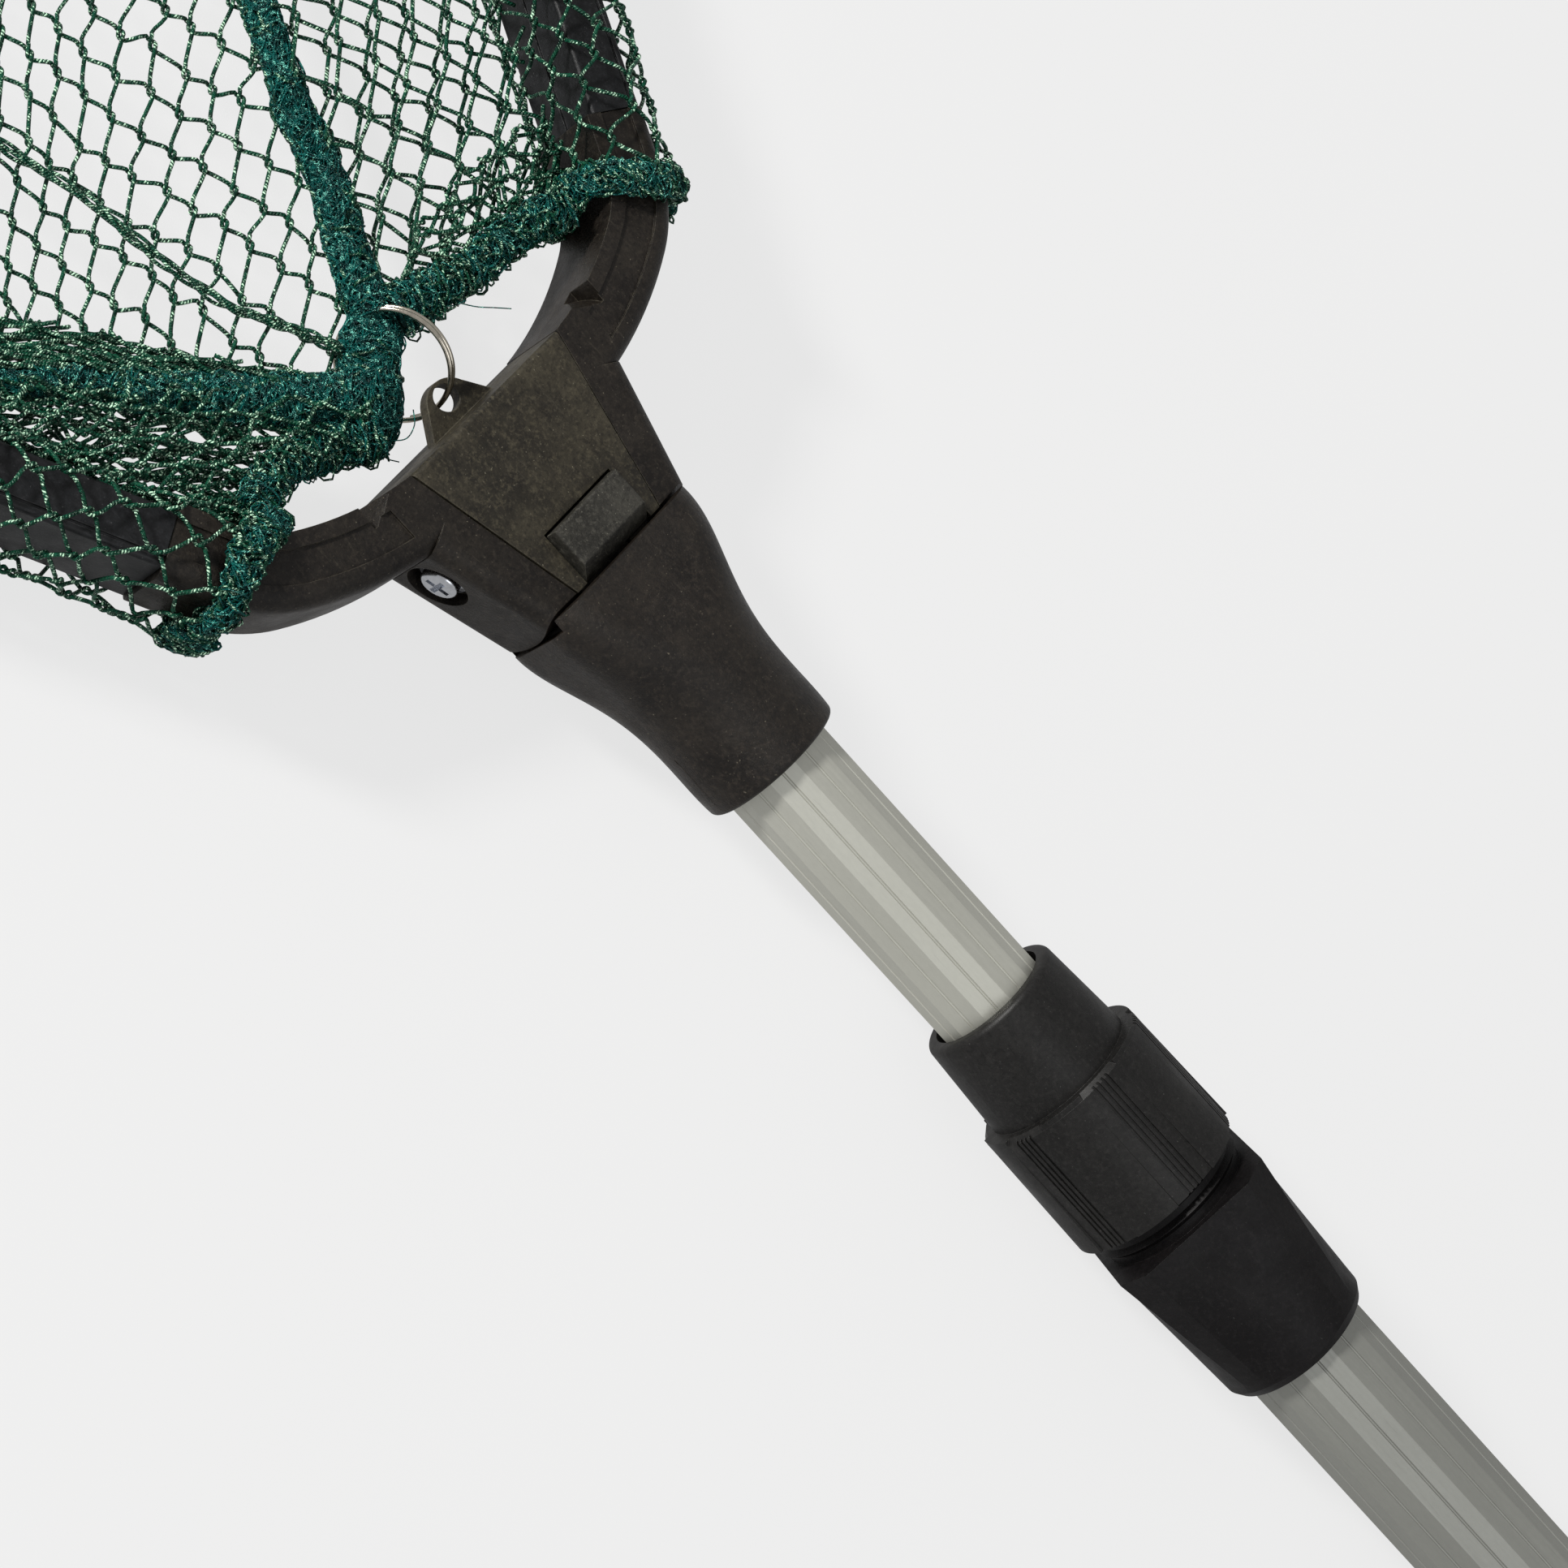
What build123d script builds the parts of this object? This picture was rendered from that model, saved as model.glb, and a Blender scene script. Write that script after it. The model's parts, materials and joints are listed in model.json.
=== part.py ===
from build123d import *
import os
from math import cos, sin, tan, radians

os.makedirs("parts", exist_ok=True)

# Folding landing net: a two-stage telescopic handle, a head socket, a sliding yoke block and two
# arms that fold back along the handle. Millimetres. The handle lies along X with the net at +X,
# and the hoop lies in the XY plane. Parts are drawn with X = 0 at the mouth of the head socket and
# Z = 0 on the handle axis, then moved so that the origin is the centre of the underside.

# --- handle ---
FLATS = 12                 # flats round each fluted aluminium tube
INNER_R = 10.5             # inner tube, radius over its corners
OUTER_R = 12.25            # outer tube, radius over its corners
TUBE_WALL = 1.0
FLUTE_R = 0.3              # fine groove along the middle of each flat
INNER_FRONT = -29.0        # front end of the inner tube, inside the head socket
INNER_LENGTH = 603.0
OUTER_FRONT = -158.0       # front end of the outer tube, inside the lock collar
OUTER_LENGTH = 600.0
TUBE_FIT = 0.05            # play between a tube and what is pushed on it or into it
EDGE_OF_FLAT = cos(radians(180 / FLATS))  # flat-to-centre over corner-to-centre

# --- twist lock ---
NOSE_FRONT = -99.2         # front face of the lock nut's nose
NOSE_LENGTH = 18.6
NOSE_R = (13.3, 14.4)      # nose radius at the front and where it meets the ribbed ring
NUT_LENGTH = 25.9
NUT_R = 17.2
NUT_PANELS = 6             # raised grip panels, with fine ribs between them
NUT_TURN = 14.0            # where the first ribbed panel sits, degrees from the top
NECK_GAP = 5.7             # threaded neck left showing behind the nut
COLLAR_LENGTH = 33.8
COLLAR_REAR_R = 14.6
COLLAR_FLAT_R = 16.1       # axis to the flats at the collar's front
COLLAR_CORNER_R = 19.5     # axis to the chamfered corners there
COLLAR_REAR_CORNER = 7.0   # half angle of each corner facet where the collar has turned round
COLLAR_TURN = 30.0         # one of the collar's flats faces this far from straight up
NECK_R = 15.2              # over the crests of the neck's threads
NECK_ROOT_R = 14.3
NECK_REACH = 14.0          # how far the neck goes into the nut
THREAD_PITCH = 2.9
THREADS = 6
RIB_PITCH = 3.6            # degrees between the fine ribs

# --- head socket ---
MOUTH_HALF = (18.5, 12.2)  # half width and half height of the socket's oval mouth
MOUTH_CORNER = 7.0
SOCKET_LENGTH = 44.4
SOCKET_REAR_R = 13.15
POCKET_DEPTH = 3.8         # open pocket just inside the mouth
NOTCH = (-2.3, 12.0, -9.9, 8.9)        # side notches for the elbows: depth, half gap, low and high
SOCKET_PIN_R = 1.55
SOCKET_PIN_X = INNER_FRONT - 7.5

# --- yoke block ---
BLOCK_REAR_HALF = 10.95    # half width at the socket's mouth
BLOCK_LENGTH = 32.5
BLOCK_HALF_HEIGHT = 9.7
ARM_ANGLE = 27.5           # each arm's angle from the handle axis
PIVOT_TILT = ARM_ANGLE / 2 # the pivot leans by half of it, so that folded arms lie along the handle
SHANK = (26.0, 8.8, 6.8)   # length, half width and half height of the shank inside the socket
SLIDE_TRAVEL = 14.0        # the head draws this far out of the socket
STOP_PIN_R = 1.5
STOP_PIN_X = -20.5
TAB = (7.1, 8.3, 2.6)      # tab reach, half width at its base and thickness
TAB_HOLE_R = 2.4
TAB_HOLE_X = 36.6

# --- latch button ---
BUTTON_X = (0.4, 10.3)
BUTTON_HALF = 8.2
BUTTON_TOP = 12.3
BUTTON_FOOT = 3.4          # underside of the pad and its tongue
SPRING_R = 3.0
SPRING_WIRE = 0.8
SPRING_SEAT = -7.5         # floor of the spring's bore
SPRING_TURNS = 6

# --- pivots ---
PIVOT_ALONG = 18.6         # from the block's rear corner along its side
PIVOT_Z = -0.5
HUB_GAP = 0.3              # between the block's side and each arm's hub
HUB_REACH = 2.0            # how far the hub's rear end dips into the socket's mouth as it turns
SCREW_R = 2.0
WASHER_R = 4.25
RECESS_R = 5.3
RECESS_FLOOR = 5.8         # recess floor, measured out from the block's side
WASHER_THICK = 0.7
SCREW_HEAD = (3.3, 2.2)    # radius and height
NUT_SEAT = -7.4            # each pivot nut starts here, inside the block

# --- arms ---
ARM_HALF_HEIGHT = 9.5
HUB_REAR = -2.9            # the hub's rear end, inside the socket's mouth
HUB_FLANK = ((21.2, 25.4), (HUB_REAR, 17.9))
BEND = ((84.0, 62.0, 60.0), (62.0, ARM_ANGLE, 14.0))   # heading in, heading out, inner radius
ELBOW_STRAIGHT = 10.0
EDGE_ROUND = 3.2
PANEL = (2.7, 8.3, 0.5)    # recessed panel on the elbow: from, to and depth
SCOOP = (30.5, 34.8, 24.3, 30.0, 3.0, 12.0)            # shoulder that clears the socket when folded
PANEL_Y = 26.0             # the panel starts at this distance from the handle axis
ELBOW_WIDTH = 12.0
RAIL_WIDTH = 9.4
RAIL_HALF_HEIGHT = 9.2
RAIL_WALL = 1.4
RAIL_LENGTH = 410.0
RAIL_START = 0.15          # gap between the elbow and the rail
SPIGOT_LENGTH = 26.0
RIVET_R = 1.2
RIVET_END = 4.0            # height of the rivet's upper end, inside the spigot
TIP_LENGTH = 11.0
SLEEVE_START = 8.0         # netting sleeve starts this far along the rail
SLEEVE_THICK = 1.6
NET_THICK = 2.4
NET_LOW = -3.0
NET_CORNER_X = 60.0        # the net's rear corner, just in front of the ring
NET_GAP = 0.2              # from each half to the middle of the hoop

# --- split ring ---
RING_R = 9.75
RING_WIRE = 0.9
RING_LEAN = 30.0           # how far the ring's plane leans from upright
RING_DROP = 14.0           # how far its centre drops below the tab
RING_TURNS = 1.9

# --- butt end ---
GRIP_LENGTH = 118.0
GRIP_R = 15.0
LANYARD_R = 3.0
EYE = (10.0, 7.5, 5.0)     # the eye's centre behind the tube, its radius and thickness

OUTER_REAR = OUTER_FRONT - OUTER_LENGTH
TILT = radians(PIVOT_TILT)
ARM = radians(ARM_ANGLE)
FOOT_X = PIVOT_ALONG * cos(TILT)                       # pivot axis on the block's side
FOOT_Y = BLOCK_REAR_HALF + PIVOT_ALONG * sin(TILT)
BEND_START = (BLOCK_LENGTH + 0.1, BLOCK_REAR_HALF + BLOCK_LENGTH * tan(TILT) + HUB_GAP / cos(TILT))


def across(x, turn=0.0):
    """Plane square to the handle at x, its own x turned from +Y towards +Z."""
    x_dir = (0, cos(radians(turn)), sin(radians(turn)))
    return Plane(origin=(x, 0, 0), x_dir=x_dir, z_dir=(1, 0, 0))


def rod(x0, x1, r):
    return extrude(across(x0) * Circle(r), amount=x1 - x0)


def cone(x0, x1, r0, r1):
    return loft([across(x0) * Circle(r0), across(x1) * Circle(r1)])


def slab(x0, x1, y0, y1, z0, z1):
    size = (x1 - x0, y1 - y0, z1 - z0)
    return Pos((x0 + x1) / 2, (y0 + y1) / 2, (z0 + z1) / 2) * Box(*size)


def mirrored(shape):
    return mirror(shape, about=Plane.XZ)


def fluted_tube(rear, length, corner_r):
    """A twelve-flat tube with a fine groove along each flat."""
    flat_r = corner_r * EDGE_OF_FLAT
    section = RegularPolygon(corner_r, FLATS, rotation=180 / FLATS)
    section -= Circle(flat_r - TUBE_WALL)
    section -= PolarLocations(flat_r + 0.05, FLATS) * Circle(FLUTE_R)
    return extrude(across(rear) * section, amount=length)


# --- handle pieces -------------------------------------------------------------------------------

def outer_tube():
    return fluted_tube(OUTER_REAR, OUTER_LENGTH, OUTER_R)


def inner_tube():
    tube = fluted_tube(INNER_FRONT - INNER_LENGTH, INNER_LENGTH, INNER_R)
    tube -= Pos(SOCKET_PIN_X, 0, -INNER_R) * Cylinder(SOCKET_PIN_R + TUBE_FIT, INNER_R)
    return tube


def tube_plug():
    """Plug in the inner tube's rear end; its flange guides the inner tube in the outer one."""
    end = INNER_FRONT - INNER_LENGTH
    bore = INNER_R * EDGE_OF_FLAT - TUBE_WALL
    bore_outer = OUTER_R * EDGE_OF_FLAT - TUBE_WALL
    plug_wall = 2.2
    plug = rod(end, end + 18, bore - TUBE_FIT)
    plug += rod(end - 6, end, bore_outer - 0.3)
    plug -= rod(end - 7, end + 19, bore - plug_wall)
    return plug


def chamfered_square(x):
    """Section of the collar's front, with its corners listed anticlockwise."""
    side = COLLAR_FLAT_R
    near = COLLAR_CORNER_R * 2 ** 0.5 - side
    corners = []
    for k in range(4):
        for y, z in ((side, near), (near, side)):
            turn = radians(90 * k)
            corners.append((y * cos(turn) - z * sin(turn), y * sin(turn) + z * cos(turn)))
    return across(x) * make_face(Polyline(*corners, close=True))


def round_in_eight(x, r):
    """Circle in eight arcs, one for each side of the chamfered square."""
    ends = []
    for k in range(4):
        ends += [45 + 90 * k - COLLAR_REAR_CORNER, 45 + 90 * k + COLLAR_REAR_CORNER]
    arcs = []
    for start, end in zip(ends, ends[1:] + [ends[0] + 360]):
        angles = [radians(value) for value in (start, (start + end) / 2, end)]
        arcs.append(ThreePointArc(*[(r * cos(angle), r * sin(angle)) for angle in angles]))
    return across(x) * make_face(arcs)


def lock_collar():
    """Collar on the outer tube: a chamfered square at the front that turns round at the rear."""
    front = nut_rear() - NECK_GAP
    rear = front - COLLAR_LENGTH
    body = loft([round_in_eight(rear, COLLAR_REAR_R), chamfered_square(front)], ruled=True)
    turned = [(rear, 0), (rear, COLLAR_REAR_R - 2.2), (rear + 0.7, COLLAR_REAR_R - 0.7),
              (rear + 2.4, COLLAR_REAR_R + 0.3), (front, COLLAR_CORNER_R + 1), (front, 0)]
    body &= revolve(Plane.XZ * make_face(Polyline(*turned, close=True)), axis=Axis.X)
    body = Rot(-COLLAR_TURN, 0, 0) * body
    body += rod(front, nut_rear() + NECK_REACH, NECK_ROOT_R)
    flank = NECK_R - NECK_ROOT_R
    for k in range(THREADS):
        crest = nut_rear() + NECK_REACH - THREAD_PITCH * (k + 0.9)
        body += cone(crest - flank, crest, NECK_ROOT_R, NECK_R)
        body += cone(crest, crest + flank, NECK_R, NECK_ROOT_R)
    body -= rod(rear - 1, OUTER_FRONT, OUTER_R + TUBE_FIT)
    body -= rod(OUTER_FRONT, nut_rear() + 15, INNER_R + 0.5)
    return body


def nut_rear():
    return NOSE_FRONT - NOSE_LENGTH - NUT_LENGTH


def collet():
    """Split tapered ring that the nut closes on the inner tube."""
    front = NOSE_FRONT - 4.0
    rear = nut_rear() + NECK_REACH + 0.3
    ring = cone(rear, front, INNER_R + 2.7, INNER_R + 1.5)
    ring -= rod(rear - 1, front + 1, INNER_R + 0.25)
    for k in range(4):
        cut = slab(rear + 5, front + 1, -0.8, 0.8, 0, 2 * INNER_R)
        ring -= Rot(45 + 90 * k, 0, 0) * cut
    return ring


def lock_nut():
    """Knurled nut with its tapered nose, one moulding that turns about the handle axis."""
    ring_front = NOSE_FRONT - NOSE_LENGTH
    body = cone(ring_front, NOSE_FRONT, NOSE_R[1], NOSE_R[0])
    body = fillet(body.edges().filter_by_position(Axis.X, NOSE_FRONT - 0.01, NOSE_FRONT + 0.01), 1.3)
    groove_r = NUT_R - 0.45
    ring = rod(nut_rear(), ring_front, groove_r)
    ring = chamfer(ring.edges().group_by(Axis.X)[-1], 1.0)
    for k in range(NUT_PANELS):
        turn = 90 - NUT_TURN + 30 + 360 / NUT_PANELS * k
        panel = extrude(across(nut_rear(), turn) * Pos(NUT_R - 3, 0) * Rectangle(6, 8.8),
                        amount=NUT_LENGTH)
        panel &= cone(nut_rear(), ring_front, NUT_R, NUT_R - 0.5)
        ring += panel
        for side in (-1.5, -0.5, 0.5, 1.5):
            turn = 90 - NUT_TURN + 360 / NUT_PANELS * k + side * RIB_PITCH
            rib = extrude(across(nut_rear(), turn) * Pos(groove_r, 0) * Rectangle(0.9, 0.5),
                          amount=NUT_LENGTH)
            ring -= rib
    body += ring
    seat = nut_rear() + NECK_REACH + 0.2
    body -= rod(nut_rear() - 1, seat, NECK_R + 0.4)
    body -= cone(seat, NOSE_FRONT - 3.6, INNER_R + 3.1, INNER_R + 1.9)
    body -= rod(NOSE_FRONT - 4.6, NOSE_FRONT + 1, INNER_R + 0.55)
    return body


def butt_grip():
    rear = OUTER_REAR
    grip = rod(rear, rear + GRIP_LENGTH, GRIP_R)
    for x in (rear + 6, rear + 12, rear + GRIP_LENGTH - 12, rear + GRIP_LENGTH - 6):
        grip -= rod(x - 1, x + 1, GRIP_R + 1) - rod(x - 1.1, x + 1.1, GRIP_R - 0.9)
    front = grip.edges().group_by(Axis.X)[-1]
    grip = fillet(front, 1.4)
    grip -= rod(rear - 1, rear + GRIP_LENGTH + 1, OUTER_R + TUBE_FIT)
    return grip


def end_cap():
    """Plug and flange at the butt, with a flat eye for a lanyard."""
    rear = OUTER_REAR
    bore = OUTER_R * EDGE_OF_FLAT - TUBE_WALL
    cap = rod(rear - 5, rear, GRIP_R)
    cap = fillet(cap.edges().group_by(Axis.X)[0], 2.0)
    cap += rod(rear, rear + 16, bore - TUBE_FIT)
    cap -= rod(rear + 2, rear + 17, bore - 2.5)
    behind, r, thick = EYE
    cap += Pos(rear - behind, 0, 0) * Cylinder(r, thick)
    cap += slab(rear - behind, rear - 3, -r, r, -thick / 2, thick / 2)
    cap -= Pos(rear - behind - 0.5, 0, 0) * Cylinder(LANYARD_R, thick + 3)
    return cap


# --- head socket ---------------------------------------------------------------------------------

def head_socket():
    """Oval mouth that narrows to a round sleeve on the inner tube."""
    sections = [(0.0, MOUTH_HALF[0], MOUTH_HALF[1], MOUTH_CORNER),
                (-9.5, 17.3, 12.6, 8.2),
                (-20.0, 14.4, 13.3, 11.4),
                (-28.5, 13.5, 13.3, 13.0),
                (-SOCKET_LENGTH, SOCKET_REAR_R, SOCKET_REAR_R - 0.05, SOCKET_REAR_R - 0.15)]
    body = loft([across(x) * RectangleRounded(2 * w, 2 * h, r) for x, w, h, r in sections])
    body = fillet(body.edges().group_by(Axis.X)[0], 1.0)
    body -= rod(-SOCKET_LENGTH - 1, INNER_FRONT, INNER_R + TUBE_FIT)
    rim = 2.2
    pocket = RectangleRounded(2 * (MOUTH_HALF[0] - rim), 2 * (MOUTH_HALF[1] - rim), MOUTH_CORNER - 2)
    body -= extrude(across(-POCKET_DEPTH) * pocket, amount=POCKET_DEPTH + 1)
    play = 0.3
    half_w = SHANK[1] + play
    half_h = SHANK[2] + play
    body -= slab(-SHANK[0] - 1.5, 1, -half_w, half_w, -half_h, half_h)
    half_groove = STOP_PIN_R + play
    reach = SHANK[1] + 1.9
    body -= slab(STOP_PIN_X - half_groove, STOP_PIN_X + SLIDE_TRAVEL + half_groove,
                 -reach, reach, -half_groove, half_groove)
    depth, gap, low, high = NOTCH
    for side in (-1, 1):
        y0, y1 = sorted((side * gap, side * (MOUTH_HALF[0] + 2)))
        body -= slab(depth, 1, y0, y1, low, high)
    body -= Pos(SOCKET_PIN_X, 0, -15) * Cylinder(SOCKET_PIN_R + TUBE_FIT, 30)
    return body


def socket_pin():
    """Blind rivet through the undersides of the socket and the inner tube."""
    reach = SOCKET_REAR_R + 0.1
    inner_end = -INNER_R + 3.0
    pin = Pos(SOCKET_PIN_X, 0, (inner_end - reach) / 2) * Cylinder(SOCKET_PIN_R, inner_end + reach)
    pin += Pos(SOCKET_PIN_X, 0, -reach - 0.35) * Cylinder(2.9, 0.9)
    return pin


# --- yoke ----------------------------------------------------------------------------------------

def side_y(x):
    """Half width of the yoke block at x."""
    return BLOCK_REAR_HALF + x * tan(TILT)


def trapezoid(x0, x1, inset, z0, z1):
    outline = [(x0, side_y(x0) - inset), (x1, side_y(x1) - inset),
               (x1, inset - side_y(x1)), (x0, inset - side_y(x0))]
    return extrude(Plane.XY.offset(z0) * make_face(Polyline(*outline, close=True)), amount=z1 - z0)


def pivot_plane(out=0.0):
    """Plane square to the left pivot axis, a distance out from the block's side."""
    origin = (FOOT_X - out * sin(TILT), FOOT_Y + out * cos(TILT), PIVOT_Z)
    return Plane(origin=origin, x_dir=(cos(TILT), sin(TILT), 0), z_dir=(-sin(TILT), cos(TILT), 0))


def sweep_radius(out):
    """Radius about the pivot that the hub may fill, a distance out, so as to clear the socket."""
    return (FOOT_X - out * sin(TILT) + HUB_REACH) / cos(TILT)


def pivot_rod(out0, out1, r):
    return extrude(pivot_plane(out0) * Circle(r), amount=out1 - out0)


def tab_outline():
    reach = BLOCK_LENGTH + TAB[0]
    nose_r = 4.9
    nose = Pos(reach - nose_r, 0) * Circle(nose_r)
    corners = [(BLOCK_LENGTH - 1, TAB[1]), (reach - nose_r * 0.55, nose_r * 0.9),
               (reach - nose_r * 0.55, -nose_r * 0.9), (BLOCK_LENGTH - 1, -TAB[1])]
    return nose + make_face(Polyline(*corners, close=True))


def yoke_block():
    top = BLOCK_HALF_HEIGHT
    block = trapezoid(0.4, BLOCK_LENGTH, 0.0, -top, top)
    front = block.edges().filter_by(Axis.Y).group_by(Axis.X)[-1]
    block = fillet(front, 0.9)
    wall = 3.4
    hollow = (BUTTON_X[1] + wall, BLOCK_LENGTH - wall)
    block -= trapezoid(hollow[0], hollow[1], wall + 1, -top - 1, top - 3)
    block += slab(hollow[0], hollow[1], -1.1, 1.1, 3 - top, top - 3)
    block += extrude(Plane.XY.offset(-TAB[2] / 2) * tab_outline(), amount=TAB[2])
    block -= Pos(TAB_HOLE_X, 0, 0) * Cylinder(TAB_HOLE_R, 10)
    block += slab(-SHANK[0], 1, -SHANK[1], SHANK[1], -SHANK[2], SHANK[2])
    well = BUTTON_HALF + 0.5
    block -= slab(0, BUTTON_X[1] + 0.5, -well, well, -0.6, top + 1)
    block -= slab(-8.5, 1, -4.6, 4.6, 0.0, top)
    block -= Pos(spring_x(), 0, SPRING_SEAT + 3.5) * Cylinder(SPRING_R + 1.2, 7)
    block -= Pos(STOP_PIN_X, 0, 0) * Rot(90, 0, 0) * Cylinder(STOP_PIN_R + 0.02, 40)
    hole = pivot_rod(-9, 1, SCREW_R + TUBE_FIT)
    block -= hole
    block -= mirrored(hole)
    return block


def spring_x():
    return (BUTTON_X[0] + BUTTON_X[1]) / 2


def stop_pin():
    return Pos(STOP_PIN_X, 0, 0) * Rot(90, 0, 0) * Cylinder(STOP_PIN_R, 2 * (SHANK[1] + 1.6))


def latch_button():
    """Raised press pad with a sloping rear face and the catch tongue under the socket's rim."""
    x0, x1 = BUTTON_X
    foot = BUTTON_FOOT
    profile = [(x0, foot), (x1, foot), (x1, BUTTON_TOP), (x0 + 2.8, BUTTON_TOP), (x0, BUTTON_TOP - 3.4)]
    side = Plane.XZ.offset(-BUTTON_HALF) * make_face(Polyline(*profile, close=True))
    pad = extrude(side, amount=2 * BUTTON_HALF)
    pad = fillet(pad.faces().sort_by(Axis.Z)[-1].edges(), 0.5)
    pad += slab(-6.0, x0 + 2, -4.2, 4.2, foot, foot + 2.6)
    pad += slab(-6.0, -4.2, -4.2, 4.2, foot, foot + 3.4)
    pad -= Pos(spring_x(), 0, foot + 2) * Cylinder(SPRING_R + 0.7, 4.4)
    return pad


def latch_spring():
    bottom = SPRING_SEAT + 0.1 + SPRING_WIRE / 2
    top = BUTTON_FOOT + 4.1 - SPRING_WIRE / 2
    coil = Helix(pitch=(top - bottom) / SPRING_TURNS, height=top - bottom, radius=SPRING_R)
    wire = sweep(Plane(origin=coil @ 0, z_dir=coil % 0) * Circle(SPRING_WIRE / 2), path=coil)
    return Pos(spring_x(), 0, bottom) * wire


def pivot_screws():
    under = RECESS_FLOOR + WASHER_THICK + 0.1
    r, height = SCREW_HEAD
    screw = pivot_rod(NUT_SEAT - 0.2, under, SCREW_R)
    head = pivot_rod(under, under + height, r)
    head = fillet(head.edges().group_by(Axis(pivot_plane().origin, pivot_plane().z_dir))[-1], 0.9)
    cross = Rectangle(4.2, 1.0) + Rectangle(1.0, 4.2)
    head -= extrude(pivot_plane(under + 1) * cross, amount=4)
    screw += head
    return Compound([screw, mirrored(screw)])


def pivot_washers():
    washer = pivot_rod(RECESS_FLOOR + 0.05, RECESS_FLOOR + 0.05 + WASHER_THICK, WASHER_R)
    washer -= pivot_rod(0, 20, SCREW_R + 0.05)
    return Compound([washer, mirrored(washer)])


def pivot_nuts():
    nut = extrude(pivot_plane(NUT_SEAT) * RegularPolygon(4.0, 6), amount=2.9)
    nut -= pivot_rod(-12, 1, SCREW_R + 0.02)
    return Compound([nut, mirrored(nut)])


def ring_plane():
    """Plane of the split ring, centred on the tab's hole."""
    lean = radians(RING_LEAN)
    return Plane(origin=(TAB_HOLE_X, 0, 0), x_dir=(1, 0, 0), z_dir=(0, cos(lean), sin(lean)))


def split_ring():
    """Two close turns of round wire through the tab's hole."""
    pitch = RING_WIRE + 0.04
    coil = Helix(pitch=pitch, height=pitch * RING_TURNS, radius=RING_R)
    wire = sweep(Plane(origin=coil @ 0, z_dir=coil % 0) * Circle(RING_WIRE / 2), path=coil)
    drop = radians(RING_DROP)
    centre = Pos(RING_R * cos(drop), RING_R * sin(drop), -pitch * RING_TURNS / 2)
    split_at = 150             # degrees round the ring to the wire's first end
    return ring_plane().location * centre * Rot(0, 0, split_at) * wire


# --- arms (drawn for the left side, +Y) ------------------------------------------------------------

def turn_arc(start, heading0, heading1, r):
    """Clockwise arc from one heading to another; returns the edge and its end point."""
    h0, h1 = radians(heading0), radians(heading1)
    cx = start[0] + r * sin(h0)
    cy = start[1] - r * cos(h0)
    mid = (h0 + h1) / 2
    middle = (cx - r * sin(mid), cy + r * cos(mid))
    end = (cx - r * sin(h1), cy + r * cos(h1))
    return ThreePointArc(start, middle, end), end


def beside(point, heading, offset):
    """Point moved square to a heading, to its left."""
    h = radians(heading)
    return (point[0] - offset * sin(h), point[1] + offset * cos(h))


def ahead(point, heading, distance):
    h = radians(heading)
    return (point[0] + distance * cos(h), point[1] + distance * sin(h))


def bend_edges(offset):
    """Edges of the elbow's curve at a distance out from its inner edge, and its two ends."""
    start = beside(BEND_START, BEND[0][0], offset)
    edges = []
    point = start
    for heading0, heading1, r in BEND:
        edge, point = turn_arc(point, heading0, heading1, r + offset)
        edges.append(edge)
    end = ahead(point, ARM_ANGLE, ELBOW_STRAIGHT)
    edges.append(Line(point, end))
    return edges, start, end


def bend_strip(inner, outer):
    """Face between two lines that follow the elbow's curve."""
    near, near_start, near_end = bend_edges(inner)
    far, far_start, far_end = bend_edges(outer)
    return make_face(near + [Line(near_end, far_end)] + far + [Line(far_start, near_start)])


def rail_plane(along=0.0):
    """Plane square to the left arm at the elbow's end, x to the arm's outer side and y up."""
    _, _, end = bend_edges(ELBOW_WIDTH / 2)
    x, y = ahead(end, ARM_ANGLE, along)
    return Plane(origin=(x, y, 0), x_dir=(-sin(ARM), cos(ARM), 0), z_dir=(cos(ARM), sin(ARM), 0))


def hub_corners():
    """Plan of the hub; its last side is the flank."""
    notch = beside(BEND_START, BEND[0][0], ELBOW_WIDTH - 3)
    return [(HUB_REAR, side_y(HUB_REAR) + HUB_GAP / cos(TILT)), BEND_START, notch, *HUB_FLANK]


def edges_over(body, lines):
    """The top and bottom edges of a body that lie over given plan lines."""
    found = []
    for edge in body.edges():
        middle = edge @ 0.5
        flat = Vector(middle.X, middle.Y, 0)
        at_face = abs(abs(middle.Z) - ARM_HALF_HEIGHT) < 0.01
        if at_face and any((line @ 0.5 - flat).length < 0.05 for line in lines):
            found.append(edge)
    return found


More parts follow.
